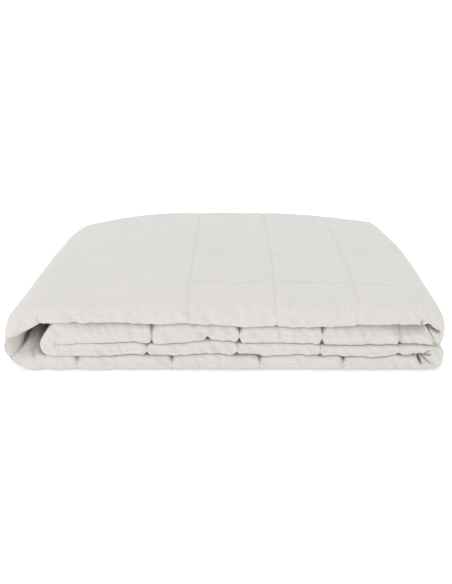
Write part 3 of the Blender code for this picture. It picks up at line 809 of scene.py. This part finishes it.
class Strip:
    """The rings of the whole strip as one list of points, with what is known of each point."""

    def __init__(self, cloth):
        hidden, shown = side_rows()
        above, below = strip_stations(cloth)
        stations = above + below
        middles = np.array([np.add(station.face, station.reverse) / 2 for station in stations])
        headings = np.gradient(middles, axis=0)
        headings /= np.linalg.norm(headings, axis=1)[:, None]
        lengths, distances, nearest = seam_distances(stations, middles)
        seams = [station.seam for station in stations if station.seam]

        fine = Rows(ring_rows(shown, hidden, FINE_ANGLES))
        plain = Rows(ring_rows(hidden, hidden, FRONT_ANGLES))
        self.rows = [fine] * len(above) + [plain] * len(below)
        rings = [
            ring_points(station, distance, seams[number], rows, cloth)
            for station, distance, number, rows in zip(stations, distances, nearest, self.rows)
        ]
        self.points, self.near_front, self.near_back = (np.concatenate(blocks) for blocks in zip(*rings))
        self.round = np.concatenate([ring_lengths(ring) for ring, _, _ in rings])
        counts = [len(rows) for rows in self.rows]
        self.starts = [0, *np.cumsum(counts[:-1]).tolist()]

        for name in ("place", "edge", "face_side", "across", "cross_seam"):
            setattr(self, name, np.concatenate([getattr(rows, name) for rows in self.rows]))
        for name, values in (
            ("part", [station.part for station in stations]),
            ("heading", headings),
            ("sewn", [station.seam is not None for station in stations]),
            ("line", [seams[number].line for number in nearest]),
            ("station", range(len(stations))),
            ("length", lengths),
            ("distance", distances),
            ("seam", nearest),
        ):
            setattr(self, name, np.repeat(np.array(values), counts, axis=0))

        spine = self.part == "spine"
        self.wall = spine & ~self.face_side                 # the spine's inside
        self.in_top = np.isin(self.part, ("top", "hanging", "spine"))
        self.on_top = self.in_top & self.face_side
        self.outer = self.on_top | spine

    def faces(self):
        """Quads between the rings, wider ones where the fine rows meet the plain ones, and the ends."""
        found = []
        for here, there, rows, following in zip(self.starts, self.starts[1:], self.rows, self.rows[1:]):
            count = len(rows)
            if rows is following:
                found += [
                    (here + i, here + (i + 1) % count, there + (i + 1) % count, there + i)
                    for i in range(count)
                ]
            else:
                found += joint(here, there, rows, following)
        found += end_faces(self.starts[0], self.rows[0], False)
        return found + end_faces(self.starts[-1], self.rows[-1], True)


def wander(points, strip):
    """Shift the cloth of the top sideways, so that the seams wander."""
    y = points[:, 1]
    slide = eased(y, WALL_PLACES, WALL_SHIFTS) * (1 - ramp(strip.distance, 0.0, WALL_SHIFT_REACH))
    points[:, (0, 2)] += strip.heading * (slide * strip.wall)[:, None]
    x = points[:, 0].copy()
    for row in ALONG_WANDERS:
        near = 1 - ramp(abs(x - row.seam), 0.0, WANDER_REACH)
        points[:, 0] += eased(y, row.places, row.shifts) * near * strip.on_top
    for row in CROSS_WANDERS:
        near = 1 - ramp(abs(y - row.seam), 0.0, WANDER_REACH)
        points[:, 1] = y + eased(x, row.places, row.shifts) * near * strip.on_top
        y = points[:, 1].copy()


def smooth_noise(x, y, z):
    """Smooth noise at each point, about -1 to 1. In relief(), some of z only picks another noise."""
    x, y, z = np.broadcast_arrays(x, y, z)
    return np.array([noise.noise(point) for point in zip(x.tolist(), y.tolist(), z.tolist())])


def crease_amount(crease, flat_points):
    """How deep a crease is at each point, seen flat."""
    corners = np.array(crease.points)
    pieces = np.linalg.norm(np.diff(corners, axis=0), axis=1)
    ends = np.concatenate(([0.0], np.cumsum(pieces))) / pieces.sum()
    nearest = np.full(len(flat_points), inf)
    share = np.zeros(len(flat_points))
    for index, piece in enumerate(pieces):
        start = corners[index]
        heading = (corners[index + 1] - start) / piece
        reach = np.clip((flat_points - start) @ heading, 0.0, piece)
        gap = np.linalg.norm(flat_points - start - reach[:, None] * heading, axis=1)
        closer = gap < nearest
        nearest = np.where(closer, gap, nearest)
        share = np.where(closer, ends[index] + reach / piece * (ends[index + 1] - ends[index]), share)
    tail = abs(share - crease.peak) / max(crease.peak, 1 - crease.peak)
    return crease.depth * bell(nearest, crease.width) * np.clip(1 - tail, 0.0, 1.0) ** 0.5


def relief(points, normals, strip, cloth):
    """How far each point stands out from the smooth form."""
    x, y, z = points.T
    edge = np.maximum(strip.near_front, strip.near_back)
    shown = np.maximum(strip.outer, edge)
    across_on = (strip.edge == 0) & strip.outer
    line = strip.line * bell(strip.distance, cloth.thread_line)
    cross_line = np.where(across_on, strip.cross_line * bell(strip.across, cloth.thread_line), 0.0)
    out = -cloth.thread_draw * np.maximum(line, cross_line) * shown

    # Puckers run away from each seam, at right angles to it.
    pitch = cloth.pucker_length
    along = smooth_noise(strip.seam * 7.3, strip.round / pitch, strip.distance / PUCKER_CHANGE)
    beside = np.exp(-strip.distance / cloth.pucker_reach) * (1 - line)
    out += cloth.pucker_height * along * beside * shown
    across = smooth_noise(strip.cross_seam * 5.1 + 3, strip.length / pitch, strip.across / PUCKER_CHANGE)
    beside = np.where(across_on, np.exp(-strip.across / cloth.pucker_reach) * (1 - cross_line), 0.0)
    out += cloth.pucker_height * across * beside

    # A seam that crosses the spine creases its inner wall deeply, less so at the front edge.
    deep = blend(WALL_CREASE_FRONT, 1.0, ramp(y, 0.0, WALL_CREASE_START))
    out -= cloth.wall_crease * deep * bell(strip.distance, cloth.wall_reach) * strip.wall * strip.line

    # Soft undulation of the filled squares, and flat wrinkles that run along the strip.
    out += cloth.swell_height * smooth_noise(x / SWELL_SIZE, y / SWELL_SIZE, z / SWELL_SIZE + 9) * strip.outer
    out += cloth.wrinkle_height * smooth_noise(x / WRINKLE_SIZE[0], y / WRINKLE_SIZE[1], 4.0) * strip.outer

    # The front and back edges: lumps and slanting wrinkles, and small gathers that run over the lip.
    bent = (strip.part == "spine") | (strip.part == "inner_fold")
    edge = edge * np.where(bent, BENT_RELIEF, 1.0) * ramp(z, *FLOOR_FADE) * abs(normals[:, 1])
    upward = strip.in_top * ramp(normals[:, 2], *LIP_TURN)
    edge = edge * np.where(y < 0.0, 1.0, BACK_RELIEF) * blend(1.0, LIP_RELIEF, upward)
    out += cloth.lump_height * smooth_noise(x / LUMP_SIZE[0], z / LUMP_SIZE[1], np.sign(y) * 6) * edge
    slant = smooth_noise((x + 0.5 * z) / SLANT_SIZE[0], (0.5 * x - z) / SLANT_SIZE[1], np.sign(y) * 8 + 1)
    out += cloth.slant_height * np.minimum(slant, SLANT_LIMIT) * edge
    lip = np.exp(-strip.place / LIP_FADE) * strip.on_top
    out += cloth.gather_height * smooth_noise(x / GATHER_SIZE[0], y / GATHER_SIZE[1], 2.0) * lip
    return out


def read(items, name, width=1, kind=np.int32):
    """One property of all the items of a mesh as an array, with a row for each if it has several values."""
    values = np.zeros(len(items) * width, kind)
    items.foreach_get(name, values)
    return values if width == 1 else values.reshape(-1, width)


def cloth_mesh(cloth):
    """The cloth's mesh: the strip's rings, the relief on them, and the creases."""
    strip = Strip(cloth)
    points = strip.points
    wander(points, strip)
    points[:, :2] -= (points[:, :2].min(axis=0) + points[:, :2].max(axis=0)) / 2
    strip.cross_line = np.choose(
        strip.cross_seam, [np.interp(points[:, 0], CROSS_PLACES, row) for row in CROSS_LINES]
    )
    mesh = bpy.data.meshes.new("blanket_cloth")
    mesh.from_pydata(points.tolist(), [], strip.faces())
    mesh.update()
    normals = read(mesh.vertices, "normal", 3, np.float32).astype(float)
    points = points + normals * relief(points, normals, strip, cloth)[:, None]
    for crease in FRONT_CREASES:
        amount = crease_amount(crease, points[:, (0, 2)]) * np.isin(strip.part, crease.parts.split())
        inward = -normals if "spine" in crease.parts else np.array((0.0, 1.0, 0.0))
        fade = strip.near_front ** (BOTTOM_CREASE_FADE if "bottom" in crease.parts else 1.0)
        points += inward * (amount * fade)[:, None]
    for crease in TOP_CREASES:
        amount = crease_amount(crease, points[:, :2]) * np.isin(strip.part, crease.parts.split())
        points[:, 2] -= amount * strip.on_top
    points[:, 2] = np.maximum(points[:, 2], 0.0)
    mesh.vertices.foreach_set("co", points.astype(np.float32).ravel())
    mark_cloth(mesh, strip)
    mesh.update()
    mesh.shade_smooth()
    return mesh


def mark_cloth(mesh, strip):
    """UV map in metres along and round the strip, how near a point is to an edge, and the seams."""
    corners = read(mesh.loops, "vertex_index")
    totals = read(mesh.polygons, "loop_total")
    owner = np.repeat(np.arange(len(totals)), totals)
    around = strip.round[corners]
    furthest = np.zeros(len(totals))
    np.maximum.at(furthest, owner, around)
    wraps = (furthest[owner] > RING_FAR) & (around < RING_NEAR)
    uv = np.stack((strip.length[corners], np.where(wraps, RING_LENGTH, around)), axis=1)
    mesh.uv_layers.new(name="cloth_metres").data.foreach_set("uv", uv.astype(np.float32).ravel())

    first, second = read(mesh.edges, "vertices", 2).T
    same_ring = strip.station[first] == strip.station[second]
    bottom, spine, lower_fold = (strip.part == name for name in ("bottom", "spine", "lower_fold"))
    shown = strip.outer | (strip.edge != 0) | (bottom & strip.face_side)
    faced = (strip.outer | bottom | lower_fold) & (strip.face_side | spine)
    on_seam = strip.across == 0.0
    along = same_ring & strip.sewn[first] & shown[first] & shown[second]
    across = ~same_ring & (strip.place[first] == strip.place[second])
    for mask in (on_seam, faced):
        across &= mask[first] & mask[second]
    near_edge = np.maximum(strip.near_front, strip.near_back).astype(np.float32)
    seam_shows = np.where(strip.sewn, strip.line, strip.cross_line).astype(np.float32)
    for name, kind, domain, values in (
        ("near_edge", "FLOAT", "POINT", near_edge),
        ("sewn", "BOOLEAN", "EDGE", along | across),
        ("seam_shows", "FLOAT", "POINT", seam_shows),
    ):
        mesh.attributes.new(name, kind, domain).data.foreach_set("value", values)


# ---- materials --------------------------------------------------------------------------------------
THREAD_SPACING = 0.0006       # of the cloth's own weave, in metres
CRIMP_STREAKS = (330.0, 40.0)     # streaks to the metre, across them and along them
SLUB_STREAKS = (1500.0, 70.0)
DYE_SPOTS = ((14.0, 1.0), (120.0, 0.5), (900.0, 0.5))     # spots to the metre, and their share
TWIST_SCALE = 2600.0          # bumps of the sewing thread's twist to the metre


def new_group(kind, name, inputs, outputs):
    """A node group with named sockets, given as (name, type, default), and its own ends' sockets."""
    tree = bpy.data.node_groups.new(name, kind)
    for in_out, sockets in (("INPUT", inputs), ("OUTPUT", outputs)):
        for label, sort, default in sockets:
            socket = tree.interface.new_socket(name=label, in_out=in_out, socket_type="NodeSocket" + sort)
            if default is not None:
                socket.default_value = default
    return tree, tree.nodes.new("NodeGroupInput").outputs, tree.nodes.new("NodeGroupOutput").inputs


def add_node(tree, kind, inputs=(), **settings):
    """A node with its settings; its inputs are given by name or number, as sockets or plain values."""
    node = tree.nodes.new(kind)
    for name, value in settings.items():
        setattr(node, name, value)
    for key, value in dict(inputs).items():
        if isinstance(value, bpy.types.NodeSocket):
            tree.links.new(value, node.inputs[key])
        else:
            node.inputs[key].default_value = value
    return node


def maths(tree, operation, *values):
    """A Math node on sockets or plain numbers; returns its output."""
    return add_node(tree, "ShaderNodeMath", enumerate(values), operation=operation).outputs[0]


def weighted_sum(tree, *terms):
    """The sum of sockets, each times its share; returns its output."""
    parts = [maths(tree, "MULTIPLY", socket, share) for socket, share in terms]
    return reduce(partial(maths, tree, "ADD"), parts)


def weave_group():
    """Plain weave and the fine crimp of washed cotton, from a UV map in metres, with painted shading that
    follows their relief.
    """
    tree, given, result = new_group(
        "ShaderNodeTree", "plain_weave",
        (("UV", "Vector", None), ("Thread Spacing", "Float", THREAD_SPACING), ("Crimp", "Float", 1.0)),
        (("Height", "Float", None), ("Shade", "Float", None)),
    )
    apart = add_node(tree, "ShaderNodeSeparateXYZ", {0: given["UV"]})
    turn = maths(tree, "DIVIDE", pi, given["Thread Spacing"])
    warp = maths(tree, "SINE", maths(tree, "MULTIPLY", apart.outputs["X"], turn))
    weft = maths(tree, "SINE", maths(tree, "MULTIPLY", apart.outputs["Y"], turn))
    over = maths(tree, "MULTIPLY", warp, weft)

    def streaks(across, lengthwise):
        """Noise stretched along the threads of one direction."""
        scale = {"Vector": given["UV"], "Scale": (across, lengthwise, 1.0)}
        mapped = add_node(tree, "ShaderNodeMapping", scale).outputs[0]
        texture = add_node(tree, "ShaderNodeTexNoise", {"Vector": mapped, "Scale": 1.0, "Detail": 1.0})
        return maths(tree, "SUBTRACT", texture.outputs[0], 0.5)

    crimp = maths(tree, "MULTIPLY", streaks(*CRIMP_STREAKS), given["Crimp"])
    slubs = maths(tree, "ADD", streaks(*SLUB_STREAKS), streaks(*SLUB_STREAKS[::-1]))
    # Heights in metres, and painted shading as shares of the dye's amount: darker where the weave, the slubs
    # and the crimp lie low, lighter where they stand high. The slubs' part is partly the yarn's own tone.
    raised = weighted_sum(tree, (over, 0.00006), (crimp, 0.0017), (slubs, 0.00016))
    tree.links.new(raised, result["Height"])
    tree.links.new(weighted_sum(tree, (over, 0.12), (slubs, 0.8), (crimp, 0.5)), result["Shade"])


def dye_and_shade_group():
    """Uneven dye: a colour that varies a little over centimetres and over millimetres, plus the painted
    shading that comes in.
    """
    tree, given, result = new_group(
        "ShaderNodeTree", "uneven_dye",
        (("Colour", "Color", (0.7, 0.7, 0.7, 1.0)), ("Shade", "Float", 0.0), ("Amount", "Float", 0.02)),
        (("Colour", "Color", None),),
    )
    where = add_node(tree, "ShaderNodeTexCoord").outputs["Object"]
    # The painted shading that comes in, and the dye's own spots, make up the change of colour.
    total = given["Shade"]
    for scale, share in DYE_SPOTS:
        spots = add_node(tree, "ShaderNodeTexNoise", {"Vector": where, "Scale": scale}).outputs[0]
        part = maths(tree, "MULTIPLY", maths(tree, "SUBTRACT", spots, 0.5), share)
        total = maths(tree, "ADD", total, part)
    factor = maths(tree, "ADD", maths(tree, "MULTIPLY", total, given["Amount"]), 1.0)
    scaled = add_node(tree, "ShaderNodeVectorMath", {0: given["Colour"], "Scale": factor}, operation="SCALE")
    tree.links.new(scaled.outputs[0], result["Colour"])


def shared_groups():
    """Make the groups that the materials share, if they aren't there yet."""
    for name, make in (("plain_weave", weave_group), ("uneven_dye", dye_and_shade_group)):
        if name not in bpy.data.node_groups:
            make()


def place_group(tree, name, inputs):
    return add_node(tree, "ShaderNodeGroup", inputs, node_tree=bpy.data.node_groups[name])


def new_material(name, colour, dye_and_shade_amount, roughness, sheen):
    """A matt material, unevenly dyed; returns it, its node tree, its shader's inputs and its node for dye and
    painted shading.
    """
    material = bpy.data.materials.new(name)
    material.use_nodes = True
    tree = material.node_tree
    shader = tree.nodes["Principled BSDF"].inputs
    shader["Roughness"].default_value = roughness
    shader["Specular IOR Level"].default_value = 0.2
    shader["Sheen Weight"].default_value = sheen
    shader["Sheen Roughness"].default_value = 0.6
    dye_and_shade_node = place_group(tree, "uneven_dye", {"Colour": colour, "Amount": dye_and_shade_amount})
    tree.links.new(dye_and_shade_node.outputs["Colour"], shader["Base Color"])
    return material, tree, shader, dye_and_shade_node


def cotton(colour):
    """Matt, plain-woven cotton in off-white."""
    material, tree, shader, dye_and_shade_node = new_material("off_white_cotton", colour, 0.06, 0.92, 0.12)
    metres = add_node(tree, "ShaderNodeUVMap", uv_map="cloth_metres").outputs[0]
    edge = add_node(tree, "ShaderNodeAttribute", attribute_name="near_edge").outputs["Fac"]
    crimp = add_node(tree, "ShaderNodeMapRange", {"Value": edge, "To Min": 0.25, "To Max": 1.0}).outputs[0]
    inputs = {"UV": metres, "Thread Spacing": THREAD_SPACING, "Crimp": crimp}
    weave = place_group(tree, "plain_weave", inputs).outputs
    # Painted shading from the weave: the colour is darker in the hollows of the weave, slubs and crimp and
    # lighter on their crests, more so near the edges.
    tree.links.new(weave["Shade"], dye_and_shade_node.inputs["Shade"])
    bump = add_node(tree, "ShaderNodeBump", {"Height": weave["Height"], "Distance": 1.0, "Strength": 0.7})
    tree.links.new(bump.outputs[0], shader["Normal"])
    return material


def thread(colour):
    """Spun polyester thread, a shade darker than the cloth."""
    material, tree, shader, _ = new_material("sewing_thread", colour, 0.12, 0.7, 0.1)
    where = add_node(tree, "ShaderNodeTexCoord").outputs["Object"]
    twist = add_node(tree, "ShaderNodeTexNoise", {"Vector": where, "Scale": TWIST_SCALE}).outputs[0]
    bump = add_node(tree, "ShaderNodeBump", {"Height": twist, "Distance": 0.0002})
    tree.links.new(bump.outputs[0], shader["Normal"])
    return material


def floor_paper(colour):
    """Matt white studio paper that glows a little, so that shadows on it stay faint."""
    material, _, shader, _ = new_material("studio_paper", colour, 0.004, 0.95, 0.0)
    shader["Emission Color"].default_value = (1.0, 1.0, 1.0, 1.0)
    shader["Emission Strength"].default_value = 0.2
    return material


# ---- the thread's geometry nodes --------------------------------------------------------------------
def stitch_tree():
    """Stitches along the sewn edges of the cloth that comes in."""
    numbers = [(name, "Float", None) for name in ("Pitch", "Stitch Length", "Thickness", "Lift")]
    tree, given, result = new_group(
        "GeometryNodeTree", "seam_stitches",
        (("Geometry", "Geometry", None), *numbers, ("Thread", "Material", None)),
        (("Geometry", "Geometry", None),),
    )
    tree.is_modifier = True
    node = partial(add_node, tree)

    # The sewn edges as evenly spaced points that know the cloth's outward direction.
    keep = node("GeometryNodeCaptureAttribute", domain="POINT")
    keep.capture_items.new("VECTOR", "Outward")
    tree.links.new(given["Geometry"], keep.inputs["Geometry"])
    tree.links.new(node("GeometryNodeInputNormal").outputs[0], keep.inputs["Outward"])
    outward = keep.outputs["Outward"]
    sewn = node("GeometryNodeInputNamedAttribute", {"Name": "sewn"}, data_type="BOOLEAN").outputs["Attribute"]
    path = node("GeometryNodeMeshToCurve", {"Mesh": keep.outputs["Geometry"], "Selection": sewn}).outputs[0]
    spaced = node("GeometryNodeResampleCurve", {"Curve": path, "Length": given["Pitch"]}, mode="LENGTH")

    # A stitch on each, along the seam, thinner where the seam hardly shows.
    turn = "FunctionNodeAlignRotationToVector"
    aim = node(turn, {"Vector": node("GeometryNodeInputTangent").outputs[0]}, axis="X").outputs[0]
    stand = node(turn, {"Rotation": aim, "Vector": outward}, axis="Z", pivot_axis="X").outputs[0]
    bead = node("GeometryNodeMeshUVSphere", {"Segments": 6, "Rings": 4, "Radius": 0.5}).outputs["Mesh"]
    shows = node("GeometryNodeInputNamedAttribute", {"Name": "seam_shows"}, data_type="FLOAT")
    thick = maths(tree, "MULTIPLY", given["Thickness"], shows.outputs["Attribute"])
    size = node("ShaderNodeCombineXYZ", {"X": given["Stitch Length"], "Y": thick, "Z": thick}).outputs[0]
    inputs = {"Points": spaced.outputs[0], "Instance": bead, "Rotation": stand, "Scale": size}
    placed = node("GeometryNodeInstanceOnPoints", inputs).outputs[0]
    lift = node("ShaderNodeVectorMath", {0: outward, "Scale": given["Lift"]}, operation="SCALE").outputs[0]
    raised = node("GeometryNodeSetPosition", {"Geometry": placed, "Offset": lift}).outputs[0]
    real = node("GeometryNodeRealizeInstances", {0: raised}).outputs[0]
    painted = node("GeometryNodeSetMaterial", {"Geometry": real, "Material": given["Thread"]})
    tree.links.new(painted.outputs[0], result["Geometry"])
    return tree


# ---- settings ---------------------------------------------------------------------------------------
def length_setting(name, description, default):
    return bpy.props.FloatProperty(
        name=name, description=description, default=default, min=0.0, precision=5, unit="LENGTH"
    )


def number_setting(name, description, default):
    return bpy.props.FloatProperty(name=name, description=description, default=default)


def colour_setting(name, description, default):
    return bpy.props.FloatVectorProperty(
        name=name, description=description, default=default, size=4, min=0.0, max=1.0, subtype="COLOR"
    )


class BlanketClothSettings(bpy.types.PropertyGroup):
    """Sizes and colour of the cloth."""

    gap: length_setting("Gap", "Air between two layers that lie on each other", 0.0003)
    square_crown: length_setting("Square Crown", "How much lower the rim of a square lies", 0.0006)
    seam_draw: length_setting("Seam Draw", "How far a seam draws each face in", 0.0006)
    seam_reach: length_setting("Seam Reach", "How far beside a seam the face is drawn in", 0.0034)
    seam_pull: length_setting("Seam Pull", "How far a seam's end is pulled back at an edge", 0.0003)
    edge_hold: number_setting("Edge Hold", "Share of a seam's draw that is gone at the edges", 0.7)
    edge_wander: length_setting("Edge Wander", "How unevenly the edges run", 0.0009)
    thread_draw: length_setting("Thread Draw", "How far the thread itself bites into the cloth", 0.0006)
    thread_line: length_setting("Thread Line", "Half-width of the line that the thread bites", 0.0011)
    groove_depth: length_setting("Groove Depth", "Depth of the groove that a seam makes over an edge", 0.0016)
    groove_width: length_setting("Groove Width", "Half-width of that groove", 0.0010)
    pit_depth: length_setting("Pit Depth", "How far the end of a seam sinks between two layers", 0.0090)
    line_change: number_setting("Line Change", "How unevenly the lines between the layers open", 0.25)
    pit_width: length_setting("Pit Width", "Half-width of that hollow", 0.0048)
    pit_open: length_setting("Pit Opening", "How far up or down that hollow opens", 0.0024)
    pucker_height: length_setting("Pucker Height", "Height of the puckers beside a seam", 0.0004)
    pucker_length: length_setting("Pucker Length", "Distance from one pucker to the next", 0.0045)
    pucker_reach: length_setting("Pucker Reach", "How far the puckers run from the seam", 0.0090)
    swell_height: length_setting("Swell Height", "Height of the soft swells of the filling", 0.0007)
    wrinkle_height: length_setting("Wrinkle Height", "Height of the flat wrinkles on the faces", 0.0003)
    lump_height: length_setting("Lump Height", "Height of the lumps along the edges", 0.0012)
    slant_height: length_setting("Slant Height", "Height of the slanting wrinkles along the edges", 0.0042)
    gather_height: length_setting("Gather Height", "Height of the gathers over the top's lip", 0.0006)
    wall_crease: length_setting("Wall Crease", "Depth of the seams inside the spine", 0.0070)
    wall_reach: length_setting("Wall Reach", "Half-width of those creases", 0.0015)
    ripple_height: length_setting("Ripple Height", "How far the lines between layers rise and fall", 0.0005)
    ripple_length: length_setting("Ripple Length", "How long those rises are", 0.0095)
    colour: colour_setting("Colour", "Colour of the cloth", (0.705, 0.673, 0.617, 1.0))


class BlanketThreadSettings(bpy.types.PropertyGroup):
    """Sizes and colour of the sewing thread."""

    pitch: length_setting("Pitch", "Distance from one stitch to the next", 0.0033)
    stitch_length: length_setting("Stitch Length", "Length of the thread that shows", 0.0026)
    thickness: length_setting("Thickness", "Thickness of the thread", 0.0004)
    lift: length_setting("Lift", "How far the thread stands out of its groove", 0.0001)
    colour: colour_setting("Colour", "Colour of the thread", (0.680, 0.649, 0.594, 1.0))


class BlanketStageSettings(bpy.types.PropertyGroup):
    """The floor, the lights and the camera."""

    floor_size: length_setting("Floor Size", "Side of the floor", 40.0)
    floor_colour: colour_setting("Floor Colour", "Colour of the floor", (0.95, 0.95, 0.95, 1.0))
    sky_light: number_setting("Sky", "Strength of the even light", 1.0)
    key_light: number_setting("Key", "Power of the upper light, in watts", 2.4)
    fill_light: number_setting("Fill", "Power of the front light, in watts", 4.5)
    lens: number_setting("Lens", "Focal length in millimetres", 50.0)
    camera_place: bpy.props.FloatVectorProperty(
        name="Camera Place",
        description="Where the camera stands",
        default=(0.001, -1.0214, 0.4362),
        unit="LENGTH",
    )
    camera_pitch: bpy.props.FloatProperty(
        name="Camera Pitch",
        description="How far the camera looks down",
        default=radians(22.0),
        subtype="ANGLE",
    )


# ---- the stage --------------------------------------------------------------------------------------
Softbox = namedtuple("Softbox", "name size place aim colour")
KEY_SOFTBOX = Softbox("key_softbox", 1.6, (0.1, 0.4, 1.85), (0.0, 0.0, 0.0), (0.95, 0.995, 1.02))
FILL_SOFTBOX = Softbox("fill_softbox", 1.0, (-1.5, -1.2, 0.20), (0.0, 0.0, 0.05), (0.99, 0.845, 0.97))
SKY_COLOUR = (0.975, 0.994, 1.033, 1.0)
SENSOR_WIDTH = 36.0      # in millimetres


# ---- operators --------------------------------------------------------------------------------------
def add_piece(name, data):
    piece = bpy.data.objects.new(name, data)
    bpy.context.scene.collection.objects.link(piece)
    return piece


class BLANKET_OT_cloth(bpy.types.Operator):
    """Make the folded, quilted cloth in place of its solid"""

    bl_idname = "blanket.cloth"
    bl_label = "Make Cloth"

    def execute(self, context):
        settings = context.scene.blanket_cloth
        shared_groups()
        mesh = cloth_mesh(settings)
        mesh.materials.append(cotton(settings.colour))
        piece = add_piece("blanket_cloth", mesh)
        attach(piece, "root")
        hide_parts("quilted_blanket")
        return {"FINISHED"}


class BLANKET_OT_thread(bpy.types.Operator):
    """Sew the thread of the quilted squares into the cloth"""

    bl_idname = "blanket.thread"
    bl_label = "Sew Seams"

    def execute(self, context):
        settings = context.scene.blanket_thread
        cloth = bpy.data.objects.get("blanket_cloth")
        if cloth is None:
            raise RuntimeError("make the cloth before its seams are sewn")
        shared_groups()
        worker = add_piece("seam_worker", cloth.data.copy())
        modifier = worker.modifiers.new("Stitches", "NODES")
        modifier.node_group = stitch_tree()
        values = {
            "Pitch": settings.pitch,
            "Stitch Length": settings.stitch_length,
            "Thickness": settings.thickness,
            "Lift": settings.lift,
            "Thread": thread(settings.colour),
        }
        for item in modifier.node_group.interface.items_tree:
            if item.name in values:
                modifier[item.identifier] = values[item.name]
        graph = context.evaluated_depsgraph_get()
        mesh = bpy.data.meshes.new_from_object(worker.evaluated_get(graph), depsgraph=graph)
        bpy.data.objects.remove(worker)
        if not mesh.polygons:
            raise RuntimeError("the stitch nodes made no stitches")
        mesh.name = "seam_thread"
        piece = add_piece("seam_thread", mesh)
        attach(piece, "root")
        return {"FINISHED"}


class BLANKET_OT_stage(bpy.types.Operator):
    """Lay the floor, and set up the lights and the camera"""

    bl_idname = "blanket.stage"
    bl_label = "Set Up Stage"

    def execute(self, context):
        settings = context.scene.blanket_stage
        scene = context.scene
        shared_groups()
        half = settings.floor_size / 2
        mesh = bpy.data.meshes.new("studio_floor")
        corners = [(-half, -half, 0), (half, -half, 0), (half, half, 0), (-half, half, 0)]
        mesh.from_pydata(corners, [], [(0, 1, 2, 3)])
        mesh.materials.append(floor_paper(settings.floor_colour))
        add_piece("studio_floor", mesh)

        scene.world = bpy.data.worlds.new("studio_sky")
        scene.world.use_nodes = True
        background = scene.world.node_tree.nodes["Background"].inputs
        background["Color"].default_value = SKY_COLOUR
        background["Strength"].default_value = settings.sky_light

        for softbox, power in ((KEY_SOFTBOX, settings.key_light), (FILL_SOFTBOX, settings.fill_light)):
            light = bpy.data.lights.new(softbox.name, "AREA")
            light.energy = power
            light.size = softbox.size
            light.color = softbox.colour
            lamp = add_piece(softbox.name, light)
            lamp.location = softbox.place
            lamp.rotation_euler = (lamp.location - Vector(softbox.aim)).to_track_quat("Z", "Y").to_euler()

        camera = bpy.data.cameras.new("studio_camera")
        camera.lens = settings.lens
        camera.sensor_width = SENSOR_WIDTH
        eye = add_piece("studio_camera", camera)
        eye.location = settings.camera_place
        eye.rotation_euler = (pi / 2 - settings.camera_pitch, 0.0, 0.0)
        scene.camera = eye
        scene.view_settings.view_transform = "Standard"
        return {"FINISHED"}


class BLANKET_PT_panel(bpy.types.Panel):
    """Lists the makers of the blanket and its settings"""

    bl_label = "Folded Blanket"
    bl_idname = "BLANKET_PT_panel"
    bl_space_type = "VIEW_3D"
    bl_region_type = "UI"
    bl_category = "Blanket"

    def draw(self, context):
        for operator, group in (
            ("blanket.cloth", context.scene.blanket_cloth),
            ("blanket.thread", context.scene.blanket_thread),
            ("blanket.stage", context.scene.blanket_stage),
        ):
            box = self.layout.box()
            box.operator(operator)
            for key in group.bl_rna.properties.keys():
                if key not in ("rna_type", "name"):
                    box.prop(group, key)


GROUPS = {
    "blanket_cloth": BlanketClothSettings,
    "blanket_thread": BlanketThreadSettings,
    "blanket_stage": BlanketStageSettings,
}
CLASSES = (*GROUPS.values(), BLANKET_OT_cloth, BLANKET_OT_thread, BLANKET_OT_stage, BLANKET_PT_panel)


def register():
    for item in CLASSES:
        bpy.utils.register_class(item)
    for name, group in GROUPS.items():
        setattr(bpy.types.Scene, name, bpy.props.PointerProperty(type=group))


def unregister():
    for name in GROUPS:
        delattr(bpy.types.Scene, name)
    for item in reversed(CLASSES):
        bpy.utils.unregister_class(item)


def main():
    register()
    bpy.ops.blanket.stage()
    bpy.ops.blanket.cloth()
    bpy.ops.blanket.thread()


if __name__ == "__main__":
    main()
